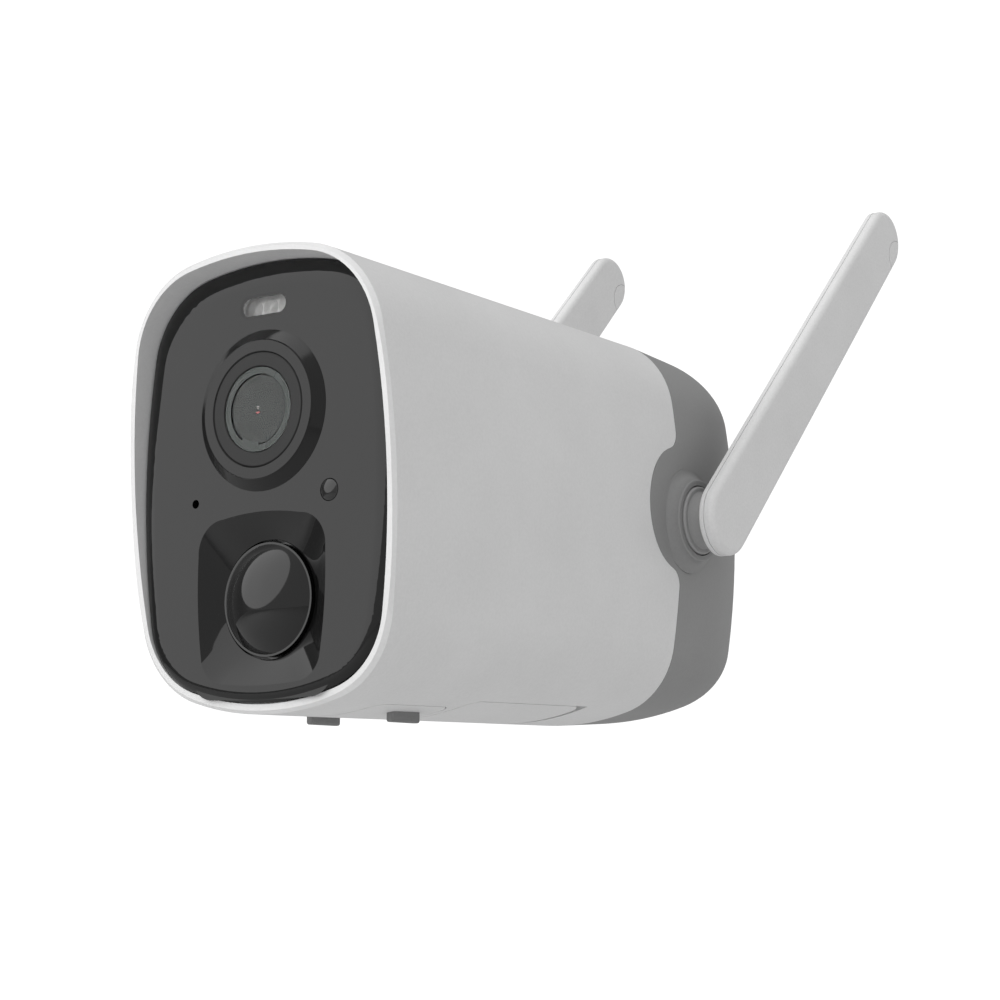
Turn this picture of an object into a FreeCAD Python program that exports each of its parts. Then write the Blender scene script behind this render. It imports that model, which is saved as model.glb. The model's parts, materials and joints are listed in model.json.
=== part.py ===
import FreeCAD, Part
import math
import os

from FreeCAD import Rotation, Vector

# Battery security camera with a hooded front, a passive infrared dome and two folding antennas.
# Millimetres. The design frame has its origin at the lens centre on the front panel's face:
# -Y looks out of the front, +X is the camera's left as seen from in front of it, +Z is up.
# Every part is moved at the end so that the origin is the mouth of the bracket thread at the back.

os.makedirs("parts", exist_ok=True)

# ---------------------------------------------------------------- driving dimensions
BODY_WIDTH = 69.4           # at the hood's rim, its widest section
BODY_HEIGHT = 92.8
BODY_LENGTH = 143.0         # front panel face to back face
LENS_DROP = 32.6            # lens centre below the top of the rim
WIDEST_DROP = 46.1          # the section's widest level below its top
TOP_R, SIDE_R, BOTTOM_R = 81.0, 180.0, 65.7
UPPER_R, LOWER_R = 20.6, 19.3
DRAFT_START, DRAFT = 0.2, 0.0125        # inset of the side at the face, and its growth per mm
WALL = 2.2
BACK_WALL = 2.6

RIM_Y, RIM_LEAN = -2.75, 0.0715         # rim plane at lens height, and how far it leans forward per mm up
RIM_CHAMFER = 0.8
MOUTH_INSET, MOUTH_TAPER = 2.1, 0.08    # the hood's inner wall at the face, and its growth per mm

SEAM_Y = 105.0              # where the rear cap meets the shell
SEAM_GAP = 0.15
NOTCH_R, NOTCH_FILLET = 14.2, 4.5       # round notch in the seam around each antenna
NOTCH_Y_BACK, NOTCH_Z = 0.7, -10.7      # its centre behind the seam, and its height
CAP_DRAFT = 0.06            # steeper draft of the cap
CAP_ROUND_LONG, CAP_ROUND_SIDE = 21.0, 8.5   # the rounded back edge's two half axes

PANEL_T, PANEL_GAP = 2.2, 0.35
ROLL_W, ROLL_DEPTH, ROLL_SHIFT = 3.4, 1.0, 1.4   # the panel's rolled-back edge, wider at its top by the shift
GASKET_T = 0.8
LEDGE_T, LEDGE_W = 1.6, 2.5

BEZEL_BASE_R, BEZEL_FACE_R, BEZEL_H = 16.2, 14.1, 1.7
BEZEL_STEP = 0.05           # straight foot under the bezel's cone
BEZEL_SHANK_R = 14.6
TRIM_R, COVER_GLASS_R = 11.46, 8.56
LENS_HEAD_R, LENS_THREAD_R = 7.4, 6.0
FIT = 0.1                   # radial room of a piece in its seat
RUN_FIT = 0.05              # radial running clearance of a turning shaft

LED_Z, LED_HALF_L, LED_HALF_H = 21.2, 5.65, 1.8
MIC_X, MIC_Z, MIC_R = -17.5, -17.4, 0.9
EYE_X, EYE_Z, EYE_R = 17.3, -17.3, 2.0

DOME_Z, DOME_R, DOME_H, DOME_T = -37.4, 11.3, 4.7, 0.9
POCKET_HALF_W, POCKET_TOP, POCKET_BOTTOM = 16.7, -20.2, -54.4
POCKET_DEPTH, POCKET_WALL = 2.8, 1.3
POCKET_RING_GAP = 0.45

PIVOT_Y, PIVOT_Z = 109.0, -13.1
BOSS_PROUD = 2.9            # antenna boss above the cap's side
BOSS_R, BOSS_FILLET = 9.3, 2.6
HUB_R, HUB_T = 7.7, 1.4
SPINDLE_R, NECK_R = 4.0, 5.4
ARM_GAP = 4.1               # hub face to the arm's inner face
ARM_THIN_T, ARM_THICK_T = 1.5, 2.3       # each arm's two halves
ARM_PIVOT_R, ARM_TIP_R, ARM_LENGTH = 8.45, 7.4, 116.3
ARM_RISE = 44.45            # degrees above straight back, as it is set
ARM_EDGE_R = 1.5

HATCH_Y0, HATCH_Y1, HATCH_HALF_W = 17.6, 41.3, 16.0
COVER_Y0, COVER_Y1, COVER_HALF_W = 43.8, 84.0, 19.9
PLATE_R = 3.0               # corner radius of both underside plates
PLATE_GAP = 0.3
PLATE_T = 1.8
FOOT_X, FOOT_Y0, FOOT_Y1, FOOT_HALF_W, FOOT_PROUD = 10.5, 27.7, 37.1, 1.0, 1.97
FOOT_END_R, FOOT_EDGE_R = 0.8, 0.5

FRONT_BOARD_Y, BOARD_T = 12.0, 1.2
SENSOR_BOARD_Y = 26.8
DECK_Z, DECK_T = -14.5, 2.0
CELL_R, CELL_L, CELL_Y0 = 9.2, 65.2, 34.0
CELL_X = 9.7
PORT_BOARD_Z = -42.0
BAY_ROOF_Z, BAY_WALL = -49.0, 1.2

SCREW_R, SCREW_HEAD_R, SCREW_HEAD_T = 1.25, 2.6, 1.8
REAR_SCREW_X, REAR_SCREW_UP, REAR_SCREW_DOWN = 18.0, 14.0, -44.0
REAR_HEAD_SEAT_Y = 116.0
LEG_X, LEG_UP, LEG_DOWN = 21.0, 10.0, -26.0
LEG_R = 3.2

MOUNT_Z = -14.0             # height of the bracket thread
THREAD_R = 2.6              # wall of the 1/4-20 threaded hole, at its minor diameter
INSERT_R, INSERT_L, INSERT_BOSS_R = 5.2, 10.0, 8.4
THREAD_DEPTH = 8.6
SPEAKER_Z, SPEAKER_R, SPEAKER_T = 6.5, 11.5, 5.0

# ---------------------------------------------------------------- values that follow
TOP = LENS_DROP
BOTTOM = TOP - BODY_HEIGHT
WIDEST_Z = TOP - WIDEST_DROP
BACK = BODY_LENGTH
CAP_ROUND_Y = BACK - CAP_ROUND_LONG
LEDGE_Y = PANEL_T + GASKET_T
CAVITY_Y = LEDGE_Y + LEDGE_T
BIG = 400.0
FRONT_END = -14.0           # a station well in front of the rim


# ---------------------------------------------------------------- small helpers
def box(x0, x1, y0, y1, z0, z1):
    return Part.makeBox(x1 - x0, y1 - y0, z1 - z0, Vector(x0, y0, z0))


def mid_box(x, half_x, y0, y1, z, half_z):
    return box(x - half_x, x + half_x, y0, y1, z - half_z, z + half_z)


def rod_y(r, y0, y1, x=0.0, z=0.0):
    return Part.makeCylinder(r, y1 - y0, Vector(x, y0, z), Vector(0, 1, 0))


def rod_x(r, x0, x1, y, z):
    return Part.makeCylinder(r, x1 - x0, Vector(x0, y, z), Vector(1, 0, 0))


def rod_z(r, z0, z1, x, y):
    return Part.makeCylinder(r, z1 - z0, Vector(x, y, z0), Vector(0, 0, 1))


def tube_y(r_out, r_in, y0, y1, x=0.0, z=0.0):
    return rod_y(r_out, y0, y1, x, z).cut(rod_y(r_in, y0 - 1, y1 + 1, x, z))


def join(shapes):
    shapes = list(shapes)
    return shapes[0].fuse(shapes[1:]).removeSplitter() if len(shapes) > 1 else shapes[0]


def group(shapes):
    return Part.makeCompound(list(shapes))


def arc(a, mid, b):
    return Part.Arc(a, mid, b).toShape()


def turned_about_y(points):
    """Solid of revolution about the lens axis from (radius, y) points."""
    wire = Part.makePolygon([Vector(r, y, 0) for r, y in points] + [Vector(points[0][0], points[0][1], 0)])
    return Part.Face(wire).revolve(Vector(0, 0, 0), Vector(0, 1, 0), 360)


def mirrored(shape):
    return shape.mirror(Vector(0, 0, 0), Vector(1, 0, 0))


def edges_at(shape, test):
    return [e for e in shape.Edges if test(e)]


def on_plane_y(edge, y, tol=1e-3):
    b = edge.BoundBox
    return abs(b.YMin - y) < tol and abs(b.YMax - y) < tol


# ---------------------------------------------------------------- the body's section
def ring_cross(c0, r0, c1, r1):
    """The crossing, on the +X side, of two circles in the X-Z plane."""
    dx, dz = c1[0] - c0[0], c1[1] - c0[1]
    dist = math.hypot(dx, dz)
    along = (r0 * r0 - r1 * r1 + dist * dist) / (2 * dist)
    across = math.sqrt(r0 * r0 - along * along)
    mx, mz = c0[0] + dx * along / dist, c0[1] + dz * along / dist
    both = [(mx - dz * across / dist * s, mz + dx * across / dist * s) for s in (1, -1)]
    return max(both)


def toward(a, b):
    d = math.hypot(b[0] - a[0], b[1] - a[1])
    return (b[0] - a[0]) / d, (b[1] - a[1]) / d


TOP_C = (0.0, TOP - TOP_R)
SIDE_C = (BODY_WIDTH / 2 - SIDE_R, WIDEST_Z)
BOTTOM_C = (0.0, BOTTOM + BOTTOM_R)
UPPER_C = ring_cross(TOP_C, TOP_R - UPPER_R, SIDE_C, SIDE_R - UPPER_R)
LOWER_C = ring_cross(BOTTOM_C, BOTTOM_R - LOWER_R, SIDE_C, SIDE_R - LOWER_R)
# unit directions from the arcs' centres to where neighbouring arcs meet
MEETS = (toward(TOP_C, UPPER_C), toward(SIDE_C, UPPER_C), toward(SIDE_C, LOWER_C), toward(BOTTOM_C, LOWER_C))


def section(inset, y):
    """Closed wire of the body's section, moved inwards by inset, in the plane at y."""
    def at(centre, r, direction):
        length = math.hypot(*direction)
        return (centre[0] + (r - inset) * direction[0] / length,
                centre[1] + (r - inset) * direction[1] / length)

    def between(d0, d1):
        return d0[0] + d1[0], d0[1] + d1[1]

    m0, m1, m2, m3 = MEETS
    right = [at(UPPER_C, UPPER_R, m0), at(UPPER_C, UPPER_R, between(m0, m1)), at(UPPER_C, UPPER_R, m1),
             at(SIDE_C, SIDE_R, between(m1, m2)), at(LOWER_C, LOWER_R, m2),
             at(LOWER_C, LOWER_R, between(m2, m3)), at(LOWER_C, LOWER_R, m3)]
    left = [(-x, z) for x, z in reversed(right)]
    ring = [(0.0, TOP - inset)] + right + [(0.0, BOTTOM + inset)] + left
    pts = [Vector(x, y, z) for x, z in ring]
    pts.append(pts[0])
    edges = [arc(pts[-2], pts[0], pts[1])]
    edges += [arc(pts[i], pts[i + 1], pts[i + 2]) for i in range(1, len(pts) - 3, 2)]
    return Part.Wire(edges)


def half_width(z, inset):
    """Half the section's width at height z."""
    for centre, r, low in ((TOP_C, TOP_R, UPPER_C[1] + UPPER_R * MEETS[0][1]),
                           (UPPER_C, UPPER_R, UPPER_C[1] + UPPER_R * MEETS[1][1]),
                           (SIDE_C, SIDE_R, LOWER_C[1] + LOWER_R * MEETS[2][1]),
                           (LOWER_C, LOWER_R, LOWER_C[1] + LOWER_R * MEETS[3][1]),
                           (BOTTOM_C, BOTTOM_R, -BIG)):
        if z >= low:
            break
    return centre[0] + math.sqrt((r - inset) ** 2 - (z - centre[1]) ** 2)


def under_z(x, inset):
    """Height of the underside at x."""
    return BOTTOM_C[1] - math.sqrt((BOTTOM_R - inset) ** 2 - x * x)


def shell_inset(y):
    """How far the shell's outer skin stands inside the widest outline at station y."""
    return DRAFT_START + DRAFT * y


def skin_inset(y):
    """The same for the whole body, with the cap's steeper draft and rounded back edge."""
    inset = shell_inset(min(y, SEAM_Y))
    if y > SEAM_Y:
        inset += CAP_DRAFT * (y - SEAM_Y)
    if y > CAP_ROUND_Y:
        t = min((y - CAP_ROUND_Y) / CAP_ROUND_LONG, 1.0)
        inset += CAP_ROUND_SIDE * (1 - math.sqrt(1 - t * t))
    return inset


def front_loft(y0, y1, extra=0.0):
    """The drafted front length of the skin, straight between two sections."""
    return Part.makeLoft([section(shell_inset(y) + extra, y) for y in (y0, y1)], True, True)


def cap_stations():
    steps = 8
    straight = [SEAM_Y + (CAP_ROUND_Y - SEAM_Y) * i / 3 for i in range(3)]
    curved = [CAP_ROUND_Y + CAP_ROUND_LONG * math.sin(math.pi / 2 * i / steps) for i in range(steps + 1)]
    return straight + curved


def rear_loft(extra=0.0, shorten=0.0):
    """The rounded rear length of the skin, smooth through its stations."""
    scale = (BACK - shorten - SEAM_Y) / (BACK - SEAM_Y)
    return Part.makeLoft([section(skin_inset(y) + extra, SEAM_Y + (y - SEAM_Y) * scale)
                          for y in cap_stations()], True, False)


def leaning_front(y_shift=0.0):
    """Everything in front of the rim's leaning plane."""
    block = box(-BIG, BIG, -BIG, 0, -BIG, BIG)
    block.rotate(Vector(0, 0, 0), Vector(1, 0, 0), math.degrees(math.atan(RIM_LEAN)))
    block.translate(Vector(0, RIM_Y + y_shift, 0))
    return block


def behind_seam(shift=0.0):
    """Everything behind the seam, with its round notches forward around the antennas."""
    cy, cz = SEAM_Y + NOTCH_Y_BACK + shift, NOTCH_Z
    r, f = NOTCH_R, NOTCH_FILLET
    line_y = SEAM_Y + shift
    # the fillets' centres lie in front of the seam line and outside the notch
    fy = line_y - f
    rise = math.sqrt((r + f) ** 2 - (cy - fy) ** 2)
    up, down = cz + rise, cz - rise

    def touch(z):
        uy, uz = toward((fy, z), (cy, cz))
        return Vector(0, fy + f * uy, z + f * uz)

    def bulge(z):
        uy, uz = toward((fy, z), (cy, cz))
        ny, nz = uy + 1.0, uz
        length = math.hypot(ny, nz)
        return Vector(0, fy + f * ny / length, z + f * nz / length)

    edges = [Part.LineSegment(Vector(0, line_y, BIG), Vector(0, line_y, up)).toShape(),
             arc(Vector(0, line_y, up), bulge(up), touch(up)),
             arc(touch(up), Vector(0, cy - r, cz), touch(down)),
             arc(touch(down), bulge(down), Vector(0, line_y, down)),
             Part.LineSegment(Vector(0, line_y, down), Vector(0, line_y, -BIG)).toShape(),
             Part.LineSegment(Vector(0, line_y, -BIG), Vector(0, BIG, -BIG)).toShape(),
             Part.LineSegment(Vector(0, BIG, -BIG), Vector(0, BIG, BIG)).toShape(),
             Part.LineSegment(Vector(0, BIG, BIG), Vector(0, line_y, BIG)).toShape()]
    prism = Part.Face(Part.Wire(edges)).extrude(Vector(BIG, 0, 0))
    prism.translate(Vector(-BIG / 2, 0, 0))
    return prism


# ---------------------------------------------------------------- underside plates
def plate_prism(y0, y1, half_w, grow, z0, z1):
    """Upright prism of a rounded rectangle seen from below."""
    prism = box(-half_w - grow, half_w + grow, y0 - grow, y1 + grow, z0, z1)
    upright = edges_at(prism, lambda e: e.BoundBox.ZLength > 1)
    return prism.makeFillet(PLATE_R + grow, upright)


LAND_T = 1.6


def underside_plate(y0, y1, half_w, t, grow=0.0, sink=0.0):
    """A plate that follows the drafted underside, sunk a little below the skin."""
    prism = plate_prism(y0, y1, half_w, grow, BOTTOM - 5, BOTTOM + 30)
    outer = front_loft(y0 - 10, y1 + 10, sink)
    inner = front_loft(y0 - 12, y1 + 12, sink + t)
    return prism.common(outer).cut(inner)


def hatch_opening():
    return underside_plate(HATCH_Y0, HATCH_Y1, HATCH_HALF_W, PLATE_T + 1, PLATE_GAP, -1)


def cover_opening():
    return underside_plate(COVER_Y0, COVER_Y1, COVER_HALF_W, WALL + 1, PLATE_GAP, -1)


HINGE_R = 0.7
HINGE_BACK, HINGE_UP = 4.0, 3.8          # hinge pin from the cover's rear edge and above its skin
LUG_X, LUG_HALF, LUG_R = 3.2, 1.5, 1.5
EAR_X, EAR_HALF, EAR_R = 6.4, 1.2, 1.15
HINGE_Y = COVER_Y1 - HINGE_BACK
HINGE_Z = BOTTOM + shell_inset(HINGE_Y) + HINGE_UP
HINGE_SWEEP_R = math.hypot(HINGE_BACK, HINGE_UP) + 0.35
LAND_W = 2.0                # how far the opening's inner frame reaches in under a plate
BAY_HALF_W = COVER_HALF_W - 0.9
BAY_Y0, BAY_Y1 = COVER_Y0 + 0.9, HINGE_Y - 2.1


# ---------------------------------------------------------------- shell and cap
def make_front_shell():
    outer = front_loft(FRONT_END, SEAM_Y + 2)
    cavity = front_loft(CAVITY_Y, SEAM_Y + 6, WALL)
    mouth_wires = [section(MOUTH_INSET + MOUTH_TAPER * y, y) for y in (FRONT_END - 1, LEDGE_Y)]
    mouth = Part.makeLoft(mouth_wires, True, True)
    way_in_wires = [section(MOUTH_INSET + LEDGE_W, y) for y in (LEDGE_Y - 1, CAVITY_Y + 1)]
    way_in = Part.makeLoft(way_in_wires, True, True)
    shell = outer.cut(leaning_front())
    rim = edges_at(shell, lambda e: e.BoundBox.YMax < CAVITY_Y)
    shell = shell.makeChamfer(RIM_CHAMFER, rim)
    shell = shell.cut(cavity).cut(mouth).cut(way_in).cut(behind_seam())
    lands = [rest_land(HATCH_Y0, HATCH_Y1, HATCH_HALF_W), cover_land()]
    sweep = rod_x(HINGE_SWEEP_R, -COVER_HALF_W - PLATE_GAP, COVER_HALF_W + PLATE_GAP, HINGE_Y, HINGE_Z)
    sweep = sweep.cut(box(-BIG, BIG, -BIG, HINGE_Y, -BIG, BIG))
    return shell.fuse(lands).cut([hatch_opening(), cover_opening(), sweep]).removeSplitter()


def rest_land(y0, y1, half_w):
    """Inner frame behind an underside plate's edge, joined to the shell's inside."""
    frame = underside_plate(y0, y1, half_w, LAND_T, LAND_W + 0.2, WALL - 0.2)
    return frame.cut(plate_prism(y0, y1, half_w, -LAND_W, BOTTOM - 6, BOTTOM + 31))


def cover_land():
    """The same for the port cover, left open behind where its hinge turns."""
    frame = rest_land(COVER_Y0, COVER_Y1, COVER_HALF_W)
    return frame.cut(box(-BIG, BIG, BAY_Y1, BIG, -BIG, BIG))


def rear_screw_places():
    return [(s * REAR_SCREW_X, z) for s in (1, -1) for z in (REAR_SCREW_UP, REAR_SCREW_DOWN)]


def cap_side_x(y=PIVOT_Y):
    """Where the cap's side stands at the antenna pivot."""
    return half_width(PIVOT_Z, skin_inset(y))


BOSS_X = cap_side_x() + BOSS_PROUD       # the boss's outer face
ARM_X = BOSS_X + ARM_GAP + 0.3


def antenna_boss():
    """Flared boss on the cap's side around the antenna's hub."""
    f, x = BOSS_FILLET, cap_side_x()
    root = x - 1.5
    profile = [Vector(root, 0, 0), Vector(BOSS_X, 0, 0), Vector(BOSS_X, BOSS_R - 0.4, 0)]
    edge = [Part.LineSegment(a, b).toShape() for a, b in zip(profile, profile[1:])]
    shoulder = Vector(BOSS_X - 0.4, BOSS_R, 0)
    edge.append(arc(profile[2], Vector(BOSS_X - 0.12, BOSS_R - 0.12, 0), shoulder))
    flare_x = x + 0.1
    flare = Vector(flare_x, BOSS_R + f, 0)
    neck = Vector(min(flare_x + f, BOSS_X - 0.5), BOSS_R, 0)
    edge.append(Part.LineSegment(shoulder, neck).toShape())
    lean = 1 - math.sqrt(0.5)
    edge.append(arc(neck, Vector(flare_x + (neck.x - flare_x) * lean, BOSS_R + f * lean, 0), flare))
    foot = Vector(root, BOSS_R + f, 0)
    edge += [Part.LineSegment(flare, foot).toShape(), Part.LineSegment(foot, profile[0]).toShape()]
    boss = Part.Face(Part.Wire(edge)).revolve(Vector(0, 0, 0), Vector(1, 0, 0), 360)
    boss.translate(Vector(0, PIVOT_Y, PIVOT_Z))
    return boss


BUSH_X0, BUSH_WALL = 24.0, 2.2
HUB_SEAT_X = BOSS_X - HUB_T + 0.6


def make_rear_cap():
    outer = rear_loft().fuse(front_loft(SEAM_Y - 20, SEAM_Y))
    cavity = rear_loft(WALL, BACK_WALL).fuse(front_loft(SEAM_Y - 25, SEAM_Y, WALL))
    bosses = antenna_boss()
    cap = outer.fuse([bosses, mirrored(bosses)])
    cap = cap.common(behind_seam(SEAM_GAP)).cut(cavity)
    inside = front_loft(TONGUE_Y - 20, SEAM_Y + 8, WALL + TONGUE_T)
    tongue = front_loft(TONGUE_Y, SEAM_Y + 4, WALL + FIT).cut(inside)
    root = front_loft(SEAM_Y + 0.6, SEAM_Y + 4, WALL - 0.8).cut(inside)
    cap = cap.fuse([tongue, root] + notch_backing(inside))
    backs = [rod_y(LEG_R, SEAM_Y + 1, BACK - 1, x, z) for x, z in rear_screw_places()]
    backs.append(rod_y(INSERT_BOSS_R, BACK - INSERT_L - 3, BACK - 1, 0, MOUNT_Z))
    speaker_front = BACK - BACK_WALL - SPEAKER_T
    backs.append(tube_y(SPEAKER_R + 1.4, SPEAKER_R + FIT, speaker_front, BACK - 1, 0, SPEAKER_Z))
    sleeve = rod_x(SPINDLE_R + RUN_FIT + 2 * BUSH_WALL, BUSH_X0, BOSS_X - 1, PIVOT_Y, PIVOT_Z)
    backs += [sleeve, mirrored(sleeve)]
    cap = cap.fuse(backs)
    cuts = []
    for x, z in rear_screw_places():
        cuts.append(rod_y(SCREW_HEAD_R + 0.4, REAR_HEAD_SEAT_Y, BACK + 1, x, z))
        cuts.append(rod_y(SCREW_R + 0.25, SEAM_Y, BACK, x, z))
    cuts.append(rod_y(INSERT_R, BACK - INSERT_L, BACK + 1, 0, MOUNT_Z))
    for s in (1, -1):
        bore = rod_x(SPINDLE_R + RUN_FIT + BUSH_WALL, BUSH_X0 - 1, BOSS_X + 1, PIVOT_Y, PIVOT_Z)
        seat = rod_x(HUB_R + 0.3, HUB_SEAT_X - 0.3, BOSS_X + 5, PIVOT_Y, PIVOT_Z)
        cuts += [bore, seat] if s > 0 else [mirrored(bore), mirrored(seat)]
    cuts += speaker_holes()
    cuts.append(gasket_ring(0.0))
    return cap.cut(cuts).removeSplitter()


def notch_backing(inside):
    """Lips behind the shell's edge around each notch, and what joins them to the cap's skin."""
    y0, y1 = SEAM_Y - NOTCH_R - 3, SEAM_Y + 4
    lip = front_loft(y0, y1, WALL + FIT).cut(inside)
    joint = front_loft(y0, y1, WALL - 0.8).cut(inside)
    pieces = []
    for piece, r in ((lip, NOTCH_R + 1.4), (joint, NOTCH_R - 1.0)):
        column = rod_x(r, 0, BIG, SEAM_Y + NOTCH_Y_BACK, NOTCH_Z)
        right = piece.common(column)
        pieces += [right, mirrored(right)]
    return pieces


TONGUE_Y, TONGUE_T = SEAM_Y - 6.0, 1.7


def gasket_ring(room):
    y0, y1 = TONGUE_Y + 1.6, TONGUE_Y + 3.4
    return front_loft(y0, y1, WALL + room).cut(front_loft(y0 - 1, y1 + 1, WALL + FIT + 0.8))


def speaker_holes():
    holes = [rod_y(0.8, BACK - BACK_WALL - 1, BACK + 1, 0, SPEAKER_Z)]
    for count, ring_r in ((6, 3.2), (12, 6.4)):
        for i in range(count):
            a = 2 * math.pi * i / count
            holes.append(rod_y(0.8, BACK - BACK_WALL - 1, BACK + 1, ring_r * math.cos(a),
                               SPEAKER_Z + ring_r * math.sin(a)))
    return holes


# ---------------------------------------------------------------- front panel
def pocket(grow=0.0):
    """Sunk pocket around the sensor dome: its walls lean from an outline on the face to the dome's ring."""
    w, top, low = POCKET_HALF_W + grow, POCKET_TOP + grow, POCKET_BOTTOM - grow
    ring_r = DOME_R + POCKET_RING_GAP + grow

    def on_ring(deg):
        a = math.radians(deg)
        return ring_r * math.cos(a), DOME_Z + ring_r * math.sin(a)

    # each point of the right half: its place on the face, and its place on the ring
    crown = (0, top), on_ring(90)
    tip = (w * 0.6, top - 0.9), on_ring(57)
    shoulder = (w * 0.885, top - 3.1), on_ring(36)
    side_top = (w - 0.25, top - 8.0), on_ring(15)
    side = (w - 0.35, (top + low) / 2 - 2.0), on_ring(-8)
    hip = (w - 1.5, low + 4.9), on_ring(-30)
    corner = (w - 3.4, low + 2.0), on_ring(-45)
    toe = (w - 6.4, low + 0.6), on_ring(-60)
    keel = (0, low), on_ring(-90)

    def place(point, y, mirror=1):
        (x0, z0), (x1, z1) = point
        t = y / POCKET_DEPTH
        return Vector(mirror * (x0 + (x1 - x0) * t), y, z0 + (z1 - z0) * t)

    def wire(y):
        spans = [(tip, shoulder, side_top), (side_top, side, hip), (hip, corner, toe)]
        edges = [arc(place(tip, y, -1), place(crown, y), place(tip, y))]
        edges += [arc(place(a, y), place(m, y), place(b, y)) for a, m, b in spans]
        edges.append(arc(place(toe, y), place(keel, y), place(toe, y, -1)))
        edges += [arc(place(b, y, -1), place(m, y, -1), place(a, y, -1)) for a, m, b in reversed(spans)]
        return Part.Wire(edges)

    return Part.makeLoft([wire(-1.0), wire(POCKET_DEPTH)], True, True)


def led_slot(grow, y0, y1):
    flat = LED_HALF_L - LED_HALF_H
    bar = mid_box(0, flat, y0, y1, LED_Z, LED_HALF_H + grow)
    ends = [rod_y(LED_HALF_H + grow, y0, y1, s * flat, LED_Z) for s in (1, -1)]
    return join([bar] + ends)


def leg_places():
    return [(s * LEG_X, z) for s in (1, -1) for z in (LEG_UP, LEG_DOWN)]


DOME_SEAT_Y = POCKET_DEPTH + 2.4


def panel_plate():
    """Flat front with its edge rolled back all round."""
    edge = MOUTH_INSET + PANEL_GAP

    def rolled(inset, depth, drop):
        wire = section(edge + inset, depth)
        wire.translate(Vector(0, 0, -drop))
        return wire

    front = [rolled(ROLL_W * t, ROLL_DEPTH * (1 - t) ** 2, ROLL_SHIFT * t) for t in (1.0, 0.5, 0.0)]
    face = Part.makeLoft(front, True, False)
    body = Part.makeLoft([section(edge + MOUTH_TAPER * y, y) for y in (ROLL_DEPTH, PANEL_T)], True, True)
    return face.fuse(body)


def make_face_panel():
    panel = panel_plate()
    cup = pocket(POCKET_WALL)
    cup.translate(Vector(0, POCKET_WALL, 0))
    cup = cup.common(box(-BIG, BIG, 0.5, BIG, -BIG, BIG))
    collar = rod_y(DOME_R + POCKET_RING_GAP + POCKET_WALL - 0.2, 1.0, DOME_SEAT_Y, 0, DOME_Z)
    posts = [rod_y(LEG_R - 0.4, PANEL_T - 0.5, FRONT_BOARD_Y, x, z) for x, z in leg_places()]
    panel = panel.fuse(cup).fuse(collar).fuse(posts).cut(pocket())
    cuts = [rod_y(DOME_R + POCKET_RING_GAP + FIT, 0, DOME_SEAT_Y + 1, 0, DOME_Z),
            rod_y(BEZEL_SHANK_R + FIT, -1, PANEL_T + 1), led_slot(0.5, -1, PANEL_T + 1),
            rod_y(MIC_R, -1, PANEL_T + 1, MIC_X, MIC_Z), rod_y(EYE_R + 0.25, -1, PANEL_T + 1, EYE_X, EYE_Z)]
    cuts += [rod_y(1.0, PANEL_T + 2, FRONT_BOARD_Y + 1, x, z) for x, z in leg_places()]
    return panel.cut(cuts).removeSplitter()


def make_face_gasket():
    outer = Part.makeLoft([section(MOUTH_INSET + PANEL_GAP + 0.2, y) for y in (PANEL_T, LEDGE_Y)], True, True)
    inner = Part.makeLoft([section(MOUTH_INSET + LEDGE_W, y) for y in (PANEL_T - 1, LEDGE_Y + 1)], True, True)
    return outer.cut(inner)


# ---------------------------------------------------------------- lens stack
def make_lens_bezel():
    inner = TRIM_R
    ease = 0.25
    face = -BEZEL_H
    return turned_about_y([(inner, face + ease), (inner + ease, face), (BEZEL_FACE_R - ease, face),
                           (BEZEL_FACE_R, face + ease), (BEZEL_BASE_R, -BEZEL_STEP), (BEZEL_BASE_R, 0),
                           (BEZEL_SHANK_R, 0), (BEZEL_SHANK_R, PANEL_T + 1.6), (inner, PANEL_T + 1.6)])


def make_lens_trim_ring():
    seat = -BEZEL_H + 1.2
    ease = 0.2
    bore = COVER_GLASS_R + 0.06
    face, back = -BEZEL_H + 0.06, PANEL_T + 0.4
    return turned_about_y([(bore, seat), (bore, -BEZEL_H + ease), (bore + ease, face), (TRIM_R - ease, face),
                           (TRIM_R, -BEZEL_H + ease), (TRIM_R, back), (LENS_HEAD_R + 0.2, back),
                           (LENS_HEAD_R + 0.2, seat)])


def make_lens_cover_glass():
    seat = -BEZEL_H + 1.2
    ease = 0.2
    front = -BEZEL_H + 0.12
    return turned_about_y([(0, front), (COVER_GLASS_R - ease, front), (COVER_GLASS_R, front + ease),
                           (COVER_GLASS_R, seat), (0, seat)])


LENS_FRONT_Y, LENS_HEAD_L = -0.2, 5.4
LENS_REAR_Y = 19.5


def make_lens_barrel():
    r = LENS_HEAD_R
    return turned_about_y([(r - 0.5, LENS_FRONT_Y), (r, LENS_FRONT_Y + 0.5), (r, LENS_FRONT_Y + LENS_HEAD_L),
                           (LENS_THREAD_R, LENS_FRONT_Y + LENS_HEAD_L), (LENS_THREAD_R, LENS_REAR_Y),
                           (3.4, LENS_REAR_Y), (3.4, 10.0), (5.0, 9.0), (5.0, 4.0), (r - 1.2, 3.6),
                           (r - 0.9, LENS_FRONT_Y + 0.4)])


def lens_element(radius, y_edge, bulge, thick):
    """Plano-convex element with its bulge towards the front."""
    rim = [Vector(radius, y_edge, 0), Vector(radius, y_edge + thick, 0), Vector(0, y_edge + thick, 0),
           Vector(0, y_edge - bulge, 0)]
    mid = Vector(radius * 0.5, y_edge - bulge * 0.76, 0)
    edges = [Part.LineSegment(rim[0], rim[1]).toShape(), Part.LineSegment(rim[1], rim[2]).toShape(),
             Part.LineSegment(rim[2], rim[3]).toShape(), arc(rim[3], mid, rim[0])]
    return Part.Face(Part.Wire(edges)).revolve(Vector(0, 0, 0), Vector(0, 1, 0), 360)


def make_lens_front_element():
    return lens_element(LENS_HEAD_R - 1.35, 1.6, 1.3, 1.9)


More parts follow.
